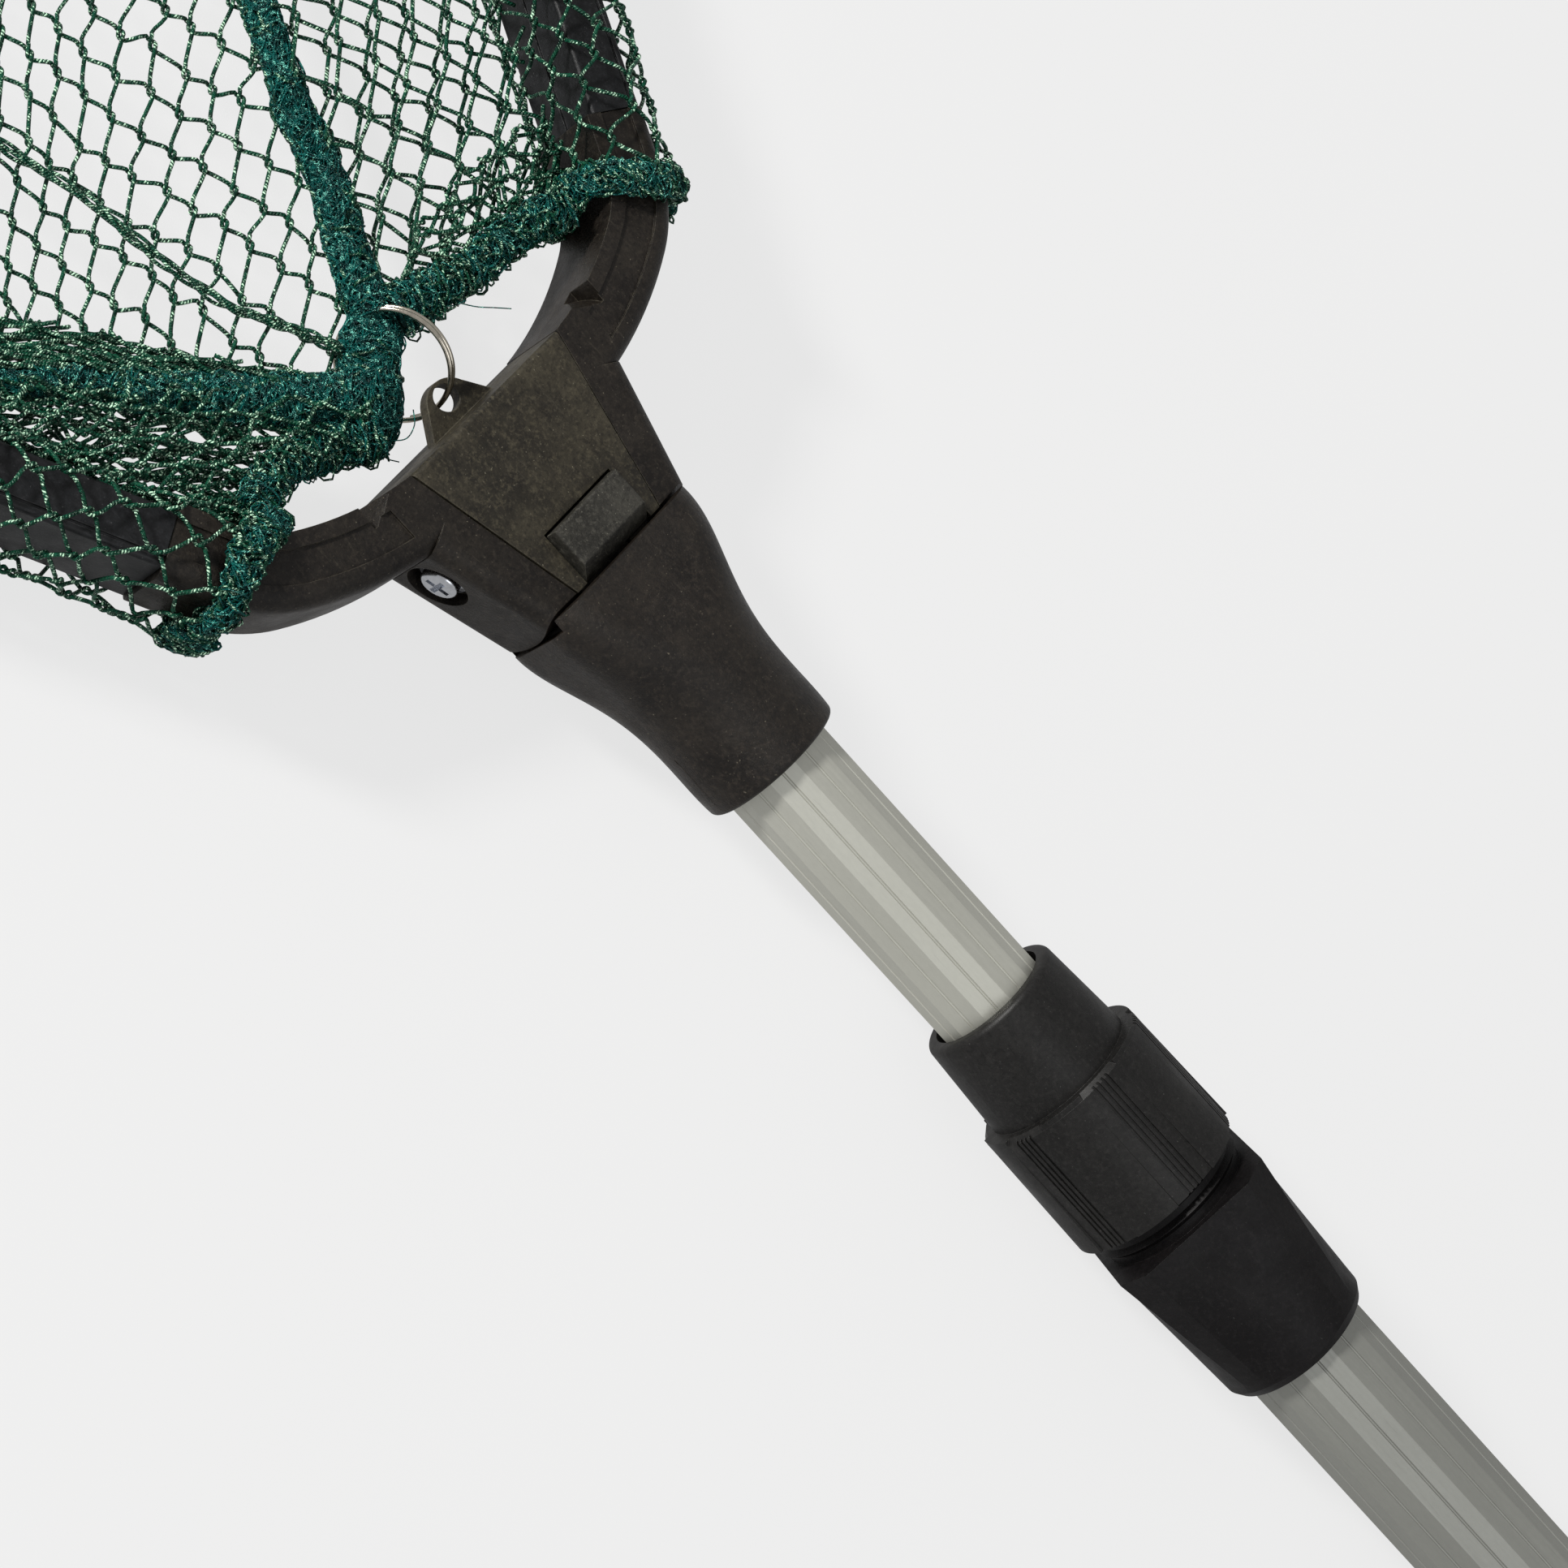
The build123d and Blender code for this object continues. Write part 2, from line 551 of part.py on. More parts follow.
def elbow():
    """Hub, curved elbow and the spigot that the hollow rail slides on."""
    h = ARM_HALF_HEIGHT
    bend = extrude(Plane.XY.offset(-h) * bend_strip(0, ELBOW_WIDTH), amount=2 * h)
    bend = fillet(edges_over(bend, bend_edges(ELBOW_WIDTH)[0]), EDGE_ROUND)
    corners = hub_corners()
    hub = extrude(Plane.XY.offset(-h) * make_face(Polyline(*corners, close=True)), amount=2 * h)
    hub = fillet(edges_over(hub, [Line(corners[-2], corners[-1])]), EDGE_ROUND)
    body = hub + bend
    beyond = 120
    recess = bend_strip(PANEL[0], PANEL[1])
    recess &= Pos(beyond / 2, PANEL_Y + beyond / 2) * Rectangle(beyond, beyond)
    body -= extrude(Plane.XY.offset(h - PANEL[2]) * recess, amount=3)
    body -= extrude(Plane.XY.offset(-h - 3 + PANEL[2]) * recess, amount=3)
    near, far = -1, 14
    kept = loft([pivot_plane(out) * Circle(sweep_radius(out)) for out in (near - 1, far + 1)])
    swept_off = pivot_rod(near, far, beyond / 2) - kept
    body -= swept_off - slab(FOOT_X, beyond, -beyond, beyond, -beyond, beyond)
    body -= swept_off & slab(*SCOOP)
    body -= pivot_rod(-1, 40, SCREW_R + TUBE_FIT)
    body -= pivot_rod(RECESS_FLOOR, 40, RECESS_R)
    body += extrude(rail_plane(-1) * fillet(rail_bore().vertices(), 0.8), amount=SPIGOT_LENGTH + 1)
    body -= pin_hole()
    return body


def rail_bore():
    """Section of what is pushed into the rail."""
    return Rectangle(RAIL_WIDTH - 2 * RAIL_WALL - 0.1, 2 * (RAIL_HALF_HEIGHT - RAIL_WALL) - 0.1)


def rivet_place():
    return rail_plane(SPIGOT_LENGTH * 0.55).location * Rot(-90, 0, 0)


def pin_hole():
    return rivet_place() * Pos(0, 0, -20 + RIVET_END) * Cylinder(RIVET_R + TUBE_FIT, 40)


def rail():
    """Hollow arm rail, grooved along its inner face and its outer top and bottom edges."""
    w = RAIL_WIDTH
    h = RAIL_HALF_HEIGHT
    section = fillet(Rectangle(w, 2 * h).vertices(), 0.8)
    section -= Rectangle(w - 2 * RAIL_WALL, 2 * (h - RAIL_WALL))
    section -= Pos(-w / 2, 0) * Rectangle(0.9, 0.7)
    for side in (-1, 1):
        section -= Pos(w / 2 - 1.5, side * h) * Rectangle(0.5, 0.8)
    body = extrude(rail_plane(RAIL_START) * section, amount=RAIL_LENGTH)
    body -= pin_hole()
    return body


def rail_pin():
    """Blind rivet from below through the rail's wall and into the elbow's spigot."""
    h = RAIL_HALF_HEIGHT
    head_high = 0.5
    pin = rivet_place() * Pos(0, 0, (RIVET_END - h) / 2) * Cylinder(RIVET_R, RIVET_END + h)
    pin += rivet_place() * Pos(0, 0, -h - head_high / 2) * Cylinder(2.2, head_high)
    return pin


def tip_cap():
    """Rounded plug in the rail's front end, with a slot that holds the net's front hem."""
    place = rail_plane(RAIL_START + RAIL_LENGTH)
    outline = fillet(Rectangle(RAIL_WIDTH, 2 * RAIL_HALF_HEIGHT).vertices(), 0.8)
    body = extrude(place * outline, amount=TIP_LENGTH)
    body = fillet(body.edges().group_by(Axis(place.origin, place.z_dir))[-1], 2.4)
    body += extrude(rail_plane(RAIL_LENGTH - 14) * rail_bore(), amount=15)
    slot = rail_plane(RAIL_LENGTH + TIP_LENGTH / 2).location * Rot(0, 90, 0)
    body -= slot * Box(4.0, 9.0, 40)
    return body


def arm_sleeve():
    """Netting tunnel round the rail, as a plain rectangular tube."""
    w = RAIL_WIDTH + 0.6
    h = RAIL_HALF_HEIGHT + 0.9
    t = SLEEVE_THICK
    section = RectangleRounded(w + 2 * t, 2 * h + 2 * t, 2.0)
    section -= Rectangle(w, 2 * h)
    return extrude(rail_plane(SLEEVE_START) * section, amount=RAIL_LENGTH - SLEEVE_START - 4)


def net_half():
    """Left half of the net bag as it lies spread in the hoop."""
    inner = -(RAIL_WIDTH / 2 + SLEEVE_THICK + 0.8)
    near = rail_plane(SLEEVE_START + 2).location * Pos(inner, 0, 0)
    far = rail_plane(RAIL_LENGTH - 6).location * Pos(inner, 0, 0)
    near, far = near.position, far.position
    outline = [(NET_CORNER_X, NET_GAP), (near.X, near.Y), (far.X, far.Y), (far.X, NET_GAP)]
    face = make_face(Polyline(*outline, close=True))
    return extrude(Plane.XY.offset(NET_LOW) * face, amount=NET_THICK)


# --- export --------------------------------------------------------------------------------------

def all_parts():
    parts = {
        "outer_tube": outer_tube(),
        "lock_collar": lock_collar(),
        "lock_nut": lock_nut(),
        "collet": collet(),
        "butt_grip": butt_grip(),
        "end_cap": end_cap(),
        "inner_tube": inner_tube(),
        "tube_plug": tube_plug(),
        "head_socket": head_socket(),
        "socket_pin": socket_pin(),
        "yoke_block": yoke_block(),
        "stop_pin": stop_pin(),
        "latch_button": latch_button(),
        "latch_spring": latch_spring(),
        "pivot_screws": pivot_screws(),
        "pivot_washers": pivot_washers(),
        "pivot_nuts": pivot_nuts(),
        "split_ring": split_ring(),
    }
    sides = {
        "elbow": elbow(),
        "rail": rail(),
        "rail_pin": rail_pin(),
        "tip_cap": tip_cap(),
        "arm_sleeve": arm_sleeve(),
        "net": net_half(),
    }
    for name, shape in sides.items():
        parts[name + "_left"] = shape
        parts[name + "_right"] = mirrored(shape)
    return parts


PARTS = all_parts()
FRONT = max(shape.bounding_box().max.X for shape in PARTS.values())
REAR = min(shape.bounding_box().min.X for shape in PARTS.values())
LOWEST = min(shape.bounding_box().min.Z for shape in PARTS.values())
ORIGIN = Pos(-(FRONT + REAR) / 2, 0, -LOWEST)
for name, shape in PARTS.items():
    export_step(ORIGIN * shape, f"parts/{name}.step")
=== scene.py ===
import json
import math

import bpy
import numpy as np
from mathutils import Matrix, Vector


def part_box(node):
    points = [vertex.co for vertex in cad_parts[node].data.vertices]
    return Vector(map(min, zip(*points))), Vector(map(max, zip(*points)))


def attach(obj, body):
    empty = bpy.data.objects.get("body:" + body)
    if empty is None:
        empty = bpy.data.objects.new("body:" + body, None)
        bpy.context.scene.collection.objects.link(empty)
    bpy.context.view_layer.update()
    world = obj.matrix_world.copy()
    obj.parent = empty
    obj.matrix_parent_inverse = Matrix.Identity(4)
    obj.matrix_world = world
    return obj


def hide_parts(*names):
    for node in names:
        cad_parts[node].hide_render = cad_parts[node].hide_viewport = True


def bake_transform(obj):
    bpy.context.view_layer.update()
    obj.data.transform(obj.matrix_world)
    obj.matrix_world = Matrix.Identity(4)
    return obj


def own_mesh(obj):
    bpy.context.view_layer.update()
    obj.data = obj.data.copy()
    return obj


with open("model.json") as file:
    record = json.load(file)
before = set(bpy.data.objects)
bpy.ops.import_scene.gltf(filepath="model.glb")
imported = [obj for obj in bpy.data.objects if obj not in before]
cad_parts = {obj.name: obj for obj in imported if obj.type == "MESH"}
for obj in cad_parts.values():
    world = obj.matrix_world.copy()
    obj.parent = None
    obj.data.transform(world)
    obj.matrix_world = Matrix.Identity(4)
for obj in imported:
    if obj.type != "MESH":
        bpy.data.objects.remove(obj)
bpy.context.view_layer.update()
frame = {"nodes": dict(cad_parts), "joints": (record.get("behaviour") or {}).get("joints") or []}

# Folding landing net. Places are worked out in millimetres in the head frame: X = 0 at the mouth of the
# head socket and growing towards the net, Z = 0 on the handle's axis, +Y to the left arm. Every
# mesh is then moved into the row frame, in metres.

MM = 0.001

MOUTH_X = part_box("head_socket")[1][0]
AXIS_Z = (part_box("inner_tube")[0][2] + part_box("inner_tube")[1][2]) / 2


def to_row(points):
    """Head-frame millimetres to row-frame metres."""
    return np.asarray(points, float) * MM + np.array([MOUTH_X, 0, AXIS_Z])


def to_head(points):
    """Row-frame metres to head-frame millimetres."""
    return (np.asarray(points, float) - np.array([MOUTH_X, 0, AXIS_Z])) / MM


# --- arm frame: along the rail from its rear end, and out from its centre line ---------------------

FOLD_AXIS = next(j["axis"] for j in frame["joints"] if j["name"] == "arm_left_fold")
ARM = 2 * math.atan2(FOLD_AXIS[0], -FOLD_AXIS[1])
ALONG = np.array([math.cos(ARM), math.sin(ARM)])
OUT = np.array([-math.sin(ARM), math.cos(ARM)])


def rail_frame():
    """Rear end of the left rail's centre line and the rail's length."""
    verts = to_head([v.co for v in frame["nodes"]["rail_left"].data.vertices])[:, :2]
    along = verts @ ALONG
    out = verts @ OUT
    rear = ALONG * along.min() + OUT * (out.min() + out.max()) / 2
    return rear, along.max() - along.min()


RAIL_REAR, RAIL_LENGTH = rail_frame()


def arm_point(along, out, side=1):
    """Plan point beside an arm; side is 1 for the left arm and -1 for the right one."""
    xy = RAIL_REAR + np.multiply.outer(along, ALONG) + np.multiply.outer(out, OUT)
    return xy * np.array([1, side])


# --- camera ----------------------------------------------------------------------------------------

LENS = 85.7
DISTANCE = 622.0
HEADING = math.radians(47.7)      # of the handle in the picture, below the horizontal
TURN = math.radians(30.0)         # roll of the view about the handle
PITCH = math.radians(12.0)        # tilt of the handle towards the lens
TARGET = np.array([-48.4, 0, 0])
TARGET_OFFSET = 1.04              # the target's distance from the picture's middle


def add_camera():
    """Places the camera and returns the matrix that turns view directions into row directions."""
    along = np.array([math.cos(HEADING), -math.sin(HEADING), 0])
    beside = np.array([math.sin(HEADING), math.cos(HEADING), 0])
    back = np.array([0, 0, 1.0])
    row_x = -(math.cos(PITCH) * along - math.sin(PITCH) * back)
    row_z = (math.cos(TURN) * (math.sin(PITCH) * along + math.cos(PITCH) * back)
             + math.sin(TURN) * beside)
    row_y = np.cross(row_z, row_x)
    turn = np.array([row_x, row_y, row_z])
    seen_at = beside * TARGET_OFFSET - back * DISTANCE
    place = to_row(TARGET - turn @ seen_at)
    data = bpy.data.cameras.new("camera")
    data.lens = LENS
    data.sensor_width = 36.0
    data.clip_start = 0.01
    data.clip_end = 30.0
    camera = bpy.data.objects.new("camera", data)
    bpy.context.collection.objects.link(camera)
    camera.matrix_world = Matrix.Translation(Vector(place)) @ Matrix(turn.tolist()).to_4x4()
    bpy.context.scene.camera = camera
    return turn


VIEW = add_camera()


# --- lights and floor ------------------------------------------------------------------------------

def aimed_light(name, right, up, back, size, power, colour):
    """Area light placed by its offsets in the view's own directions, in metres, aimed at the yoke."""
    goal = Vector(to_row((0, 0, 0)))
    place = goal + Vector(VIEW @ np.array([right, up, back]))
    data = bpy.data.lights.new(name, "AREA")
    data.shape = "DISK"
    data.size = size
    data.energy = power
    data.color = colour
    light = bpy.data.objects.new(name, data)
    light.location = place
    light.rotation_mode = "QUATERNION"
    light.rotation_quaternion = (goal - place).to_track_quat("-Z", "Y")
    bpy.context.collection.objects.link(light)


def add_world(colour, strength):
    world = bpy.data.worlds.new("studio")
    world.use_nodes = True
    background = world.node_tree.nodes["Background"]
    background.inputs["Color"].default_value = (*colour, 1)
    background.inputs["Strength"].default_value = strength
    bpy.context.scene.world = world


def add_floor():
    """Pale lit table: mostly an even glow, with a little shading left for the contact shadows."""
    mesh = bpy.data.meshes.new("floor")
    half = 14.0
    corners = [(-half, -half, 0), (half, -half, 0), (half, half, 0), (-half, half, 0)]
    mesh.from_pydata(corners, [], [(0, 1, 2, 3)])
    floor = bpy.data.objects.new("floor", mesh)
    floor.location.z = -0.0005
    bpy.context.collection.objects.link(floor)
    material = bpy.data.materials.new("floor")
    material.use_nodes = True
    tree = Tree(material)
    tree.shader.inputs["Base Color"].default_value = (0.11, 0.11, 0.11, 1)
    tree.shader.inputs["Roughness"].default_value = 1.0
    tree.shader.inputs["Specular IOR Level"].default_value = 0.0
    tree.shader.inputs["Emission Color"].default_value = (1, 1, 1, 1)
    tree.shader.inputs["Emission Strength"].default_value = 0.74
    mesh.materials.append(material)
    floor.visible_glossy = False


# --- materials -------------------------------------------------------------------------------------

class Tree:
    """A material's node tree with short ways to add and link nodes."""

    def __init__(self, material):
        self.nodes = material.node_tree.nodes
        self.links = material.node_tree.links
        self.shader = self.nodes["Principled BSDF"]
        self.base = None

    def add(self, kind, settings=None, **inputs):
        node = self.nodes.new(kind)
        for key, value in (settings or {}).items():
            setattr(node, key, value)
        for key, value in inputs.items():
            self.put(node, key.replace("_", " "), value)
        return node

    def put(self, node, socket, value):
        numbered = socket[0] == "i" and socket[1:].isdigit()
        target = node.inputs[int(socket[1:]) if numbered else socket]
        if isinstance(value, bpy.types.NodeSocket):
            self.links.new(value, target)
        else:
            target.default_value = value

    def coordinates(self, stretch=(1, 1, 1)):
        """Object coordinates in millimetres, divided by a stretch."""
        if self.base is None:
            self.base = self.add("ShaderNodeTexCoord").outputs["Object"]
        scale = tuple(1000 / s for s in stretch)
        return self.add("ShaderNodeMapping", Vector=self.base, Scale=scale).outputs[0]

    def noise(self, scale, detail, rough, stretch=(1, 1, 1)):
        where = self.coordinates(stretch)
        node = self.add("ShaderNodeTexNoise", Vector=where, Scale=scale, Detail=detail, Roughness=rough)
        return node.outputs["Fac"]

    def ramp(self, value, low, high, to_low=0.0, to_high=1.0):
        """Value moved from the range low..high to another range, and clamped."""
        node = self.add("ShaderNodeMapRange", Value=value)
        names = ("From Min", "From Max", "To Min", "To Max")
        for name, number in zip(names, (low, high, to_low, to_high)):
            node.inputs[name].default_value = number
        return node.outputs[0]

    def math(self, operation, a, b=0.0):
        """One arithmetic step; a or b may be a socket or a number."""
        return self.add("ShaderNodeMath", {"operation": operation}, i0=a, i1=b).outputs[0]

    def mix(self, share, first, second):
        """Colour between two others."""
        node = self.add("ShaderNodeMix", {"data_type": "RGBA"})
        for socket, value in (("i0", share), ("i6", first), ("i7", second)):
            self.put(node, socket, (*value, 1) if isinstance(value, tuple) else value)
        return node.outputs[2]

    def bump(self, height, distance, strength, normal=None):
        """Bumped normal; the distance is in millimetres."""
        node = self.add("ShaderNodeBump", Height=height, Distance=distance * MM, Strength=strength)
        if normal is not None:
            self.links.new(normal, node.inputs["Normal"])
        return node.outputs[0]

    def edges(self, radius):
        """Rounded-edge normal, and how close the surface is to an edge."""
        soft = self.add("ShaderNodeBevel", {"samples": 4}, Radius=radius * MM).outputs[0]
        plain = self.add("ShaderNodeNewGeometry").outputs["True Normal"]
        dot = self.add("ShaderNodeVectorMath", {"operation": "DOT_PRODUCT"}, i0=soft, i1=plain)
        return soft, self.ramp(dot.outputs["Value"], 0.97, 0.8)

    def out(self, socket, value):
        self.put(self.shader, socket, value)


def new_material(name, metallic=0.0, specular=0.5):
    material = bpy.data.materials.new(name)
    material.use_nodes = True
    tree = Tree(material)
    tree.shader.inputs["Metallic"].default_value = metallic
    tree.shader.inputs["Specular IOR Level"].default_value = specular
    return material, tree


def moulded_plastic(name, base, light, speck, rough, grain, wear, specular=0.3, edge_mm=0.3):
    """Spark-textured moulding: mottled, pitted, speckled, dulled in patches and paler on its edges."""
    material, tree = new_material(name, specular=specular)
    soft, edge = tree.edges(edge_mm)
    mottle = tree.ramp(tree.noise(0.09, 6.0, 0.7), 0.38, 0.66)
    colour = tree.mix(mottle, base, light)
    pits = tree.ramp(tree.noise(1.15, 4.0, 0.75), 0.36, 0.50, 0.6, 0.0)
    colour = tree.mix(pits, colour, tuple(c * 0.4 for c in base))
    grit = tree.ramp(tree.noise(1.0, 5.0, 0.8), 0.50, 0.66, 0.0, 0.9)
    colour = tree.mix(grit, colour, tuple(c * 1.5 for c in light))
    dust = tree.ramp(tree.noise(2.3, 2.0, 0.5), 0.70, 0.78, 0.0, 0.8)
    colour = tree.mix(dust, colour, speck)
    scuff = tree.ramp(tree.noise(0.5, 6.0, 0.7, stretch=(3.0, 0.5, 1.0)), 0.60, 0.74, 0.0, 0.14)
    colour = tree.mix(scuff, colour, speck)
    worn = tree.math("MULTIPLY", edge, tree.ramp(tree.noise(0.35, 4.0, 0.6), 0.35, 0.65, 0.0, wear))
    colour = tree.mix(worn, colour, speck)
    tree.out("Base Color", colour)
    patch = tree.ramp(tree.noise(0.16, 4.0, 0.6), 0.3, 0.7, rough - 0.08, rough + 0.1)
    tree.out("Roughness", patch)
    height = tree.noise(1.4, 5.0, 0.72)
    tree.out("Normal", tree.bump(height, grain, 0.8, soft))
    return material


def drawn_metal(name, base, light, rough, streak_scale, metallic):
    """Satin anodised metal with streaks along the X axis."""
    material, tree = new_material(name, metallic=metallic, specular=0.4)
    streaks = tree.noise(streak_scale, 5.0, 0.6, stretch=(120, 1, 1))
    cloud = tree.ramp(tree.noise(0.035, 4.0, 0.6, stretch=(2.5, 1, 1)), 0.3, 0.7)
    colour = tree.mix(tree.math("MULTIPLY", streaks, cloud), base, light)
    grain = tree.ramp(tree.noise(1.8, 3.0, 0.6, stretch=(2.5, 1, 1)), 0.35, 0.7, 0.0, 0.16)
    colour = tree.mix(grain, colour, tuple(c * 0.75 for c in base))
    scratch = tree.ramp(tree.noise(2.2, 3.0, 0.6, stretch=(22, 1, 1)), 0.66, 0.74, 0.0, 0.3)
    colour = tree.mix(scratch, colour, tuple(c * 0.66 for c in base))
    tree.out("Base Color", colour)
    tree.out("Roughness", tree.ramp(streaks, 0.3, 0.7, rough - 0.05, rough + 0.08))
    tree.out("Normal", tree.bump(streaks, 0.012, 0.5))
    return material


def plated_metal(name, base, rough, specks):
    """Bright plating with a little tarnish."""
    material, tree = new_material(name, metallic=1.0)
    stain = tree.ramp(tree.noise(1.1, 4.0, 0.6), 0.4, 0.75, 0.0, specks)
    tree.out("Base Color", tree.mix(stain, base, tuple(c * 0.45 for c in base)))
    tree.out("Roughness", tree.ramp(tree.noise(2.0, 3.0, 0.6), 0.3, 0.7, rough - 0.04, rough + 0.1))
    tree.out("Normal", tree.bump(tree.noise(3.0, 2.0, 0.5), 0.01, 0.5))
    return material


def yarn(name, dark, mid, painted_highlight, ply_mm, painted_highlight_from, rough):
    """Twisted shiny nylon yarn; its plies wind round it once every ply_mm. Pale spots of painted highlight
    (glints) are mixed into its colour on the plies' crests.
    """
    material, tree = new_material(name, specular=0.22)
    uv = tree.add("ShaderNodeUVMap", {"uv_map": "UVMap"}).outputs[0]
    parts = tree.add("ShaderNodeSeparateXYZ", Vector=uv)
    phase = tree.math("ADD", tree.math("MULTIPLY", parts.outputs[0], 1 / ply_mm), parts.outputs[1])
    ply = tree.math("SINE", tree.math("MULTIPLY", phase, 4 * math.pi))
    fibre = tree.noise(3.2, 3.0, 0.6)
    height = tree.math("ADD", tree.math("MULTIPLY", ply, 0.5), fibre)
    patch = tree.ramp(tree.noise(0.7, 4.0, 0.65), 0.38, 0.62)
    colour = tree.mix(patch, dark, mid)
    # painted highlight: pale glint spots mixed into the base colour where the noise passes a threshold, on
    # the plies' crests
    painted_highlight_mask = tree.ramp(tree.noise(1.15, 3.0, 0.65), painted_highlight_from, painted_highlight_from + 0.07)
    painted_highlight_mask = tree.math("MULTIPLY", painted_highlight_mask, tree.ramp(ply, -0.7, 0.3))
    colour = tree.mix(painted_highlight_mask, colour, painted_highlight)
    tree.out("Base Color", colour)
    tree.out("Roughness", tree.ramp(fibre, 0.3, 0.7, rough, rough + 0.22))
    tree.out("Normal", tree.bump(height, 0.16, 0.9))
    return material


BLACK = moulded_plastic("black_plastic", (0.0066, 0.0050, 0.0040), (0.0175, 0.0142, 0.0108),
                        (0.17, 0.150, 0.110), 0.40, 0.20, 0.45, 0.26, 0.2)
SOCKET = moulded_plastic("socket_plastic", (0.0056, 0.0040, 0.0030), (0.0180, 0.0140, 0.0104),
                         (0.17, 0.150, 0.110), 0.36, 0.26, 0.45, 0.32, 0.01)
YOKE = moulded_plastic("yoke_plastic", (0.0125, 0.0104, 0.0070), (0.0390, 0.0335, 0.0215),
                       (0.19, 0.175, 0.125), 0.5, 0.16, 0.6)
BUTTON = moulded_plastic("button_plastic", (0.0150, 0.0140, 0.0112), (0.0440, 0.0415, 0.0340),
                         (0.27, 0.26, 0.21), 0.52, 0.26, 0.9)
LOCK = moulded_plastic("lock_plastic", (0.0062, 0.0059, 0.0056), (0.0112, 0.0106, 0.0100),
                       (0.055, 0.055, 0.052), 0.46, 0.05, 0.6, 0.28, 0.12)
COLLAR = moulded_plastic("collar_plastic", (0.0030, 0.0025, 0.0027), (0.0058, 0.0050, 0.0052),
                         (0.030, 0.030, 0.029), 0.48, 0.045, 0.4, 0.18, 0.1)
GRIP = moulded_plastic("grip_rubber", (0.0060, 0.0060, 0.0064), (0.012, 0.012, 0.0125),
                       (0.05, 0.05, 0.05), 0.72, 0.18, 0.4, 0.25)
RAIL = moulded_plastic("rail_coating", (0.0052, 0.0055, 0.0062), (0.0110, 0.0115, 0.0130),
                       (0.09, 0.09, 0.09), 0.42, 0.07, 0.7)
INNER = drawn_metal("inner_aluminium", (0.50, 0.50, 0.445), (0.60, 0.60, 0.54), 0.46, 3.2, 0.6)
OUTER = drawn_metal("outer_aluminium", (0.29, 0.293, 0.268), (0.37, 0.374, 0.34), 0.48, 3.0, 0.6)
ZINC = plated_metal("bright_zinc", (0.72, 0.74, 0.78), 0.22, 0.35)
NICKEL = plated_metal("nickel_ring", (0.62, 0.57, 0.48), 0.14, 0.5)
# the last colour of each yarn is a painted highlight (glint) mixed into its base colour
NETTING = yarn("green_netting", (0.0012, 0.0190, 0.0110), (0.0035, 0.0700, 0.0360),
               (0.60, 0.92, 0.66), 1.1, 0.535, 0.22)
HEM = yarn("teal_hem", (0.0008, 0.0240, 0.0235), (0.0020, 0.1080, 0.0950),
           (0.24, 0.74, 0.60), 0.9, 0.545, 0.24)
# painted shade: a darker copy of the teal hem yarn for the bands' cores, standing in for the shade deep
# inside the bundles of threads; its last colour is a painted highlight
HEM_PAINTED_SHADE_CORE = yarn("teal_hem_core_painted_shade", (0.0006, 0.0110, 0.0115), (0.0018, 0.0460, 0.0420),
                (0.04, 0.26, 0.22), 0.9, 0.58, 0.4)

CAD_LOOKS = {
    "outer_tube": OUTER, "inner_tube": INNER, "lock_collar": COLLAR, "lock_nut": LOCK, "collet": LOCK,
    "tube_plug": LOCK, "end_cap": LOCK, "butt_grip": GRIP, "head_socket": SOCKET, "yoke_block": YOKE,
    "latch_button": BUTTON, "split_ring": NICKEL, "socket_pin": ZINC, "stop_pin": ZINC,
    "latch_spring": ZINC, "pivot_screws": ZINC, "pivot_washers": ZINC, "pivot_nuts": ZINC,
}
for side in ("left", "right"):
    CAD_LOOKS[f"elbow_{side}"] = BLACK
    CAD_LOOKS[f"tip_cap_{side}"] = BLACK
    CAD_LOOKS[f"rail_{side}"] = RAIL
    CAD_LOOKS[f"rail_pin_{side}"] = ZINC


def paint_cad():
    for name, material in CAD_LOOKS.items():
        mesh = frame["nodes"][name].data
        mesh.materials.clear()
        mesh.materials.append(material)


# --- mesh making -----------------------------------------------------------------------------------

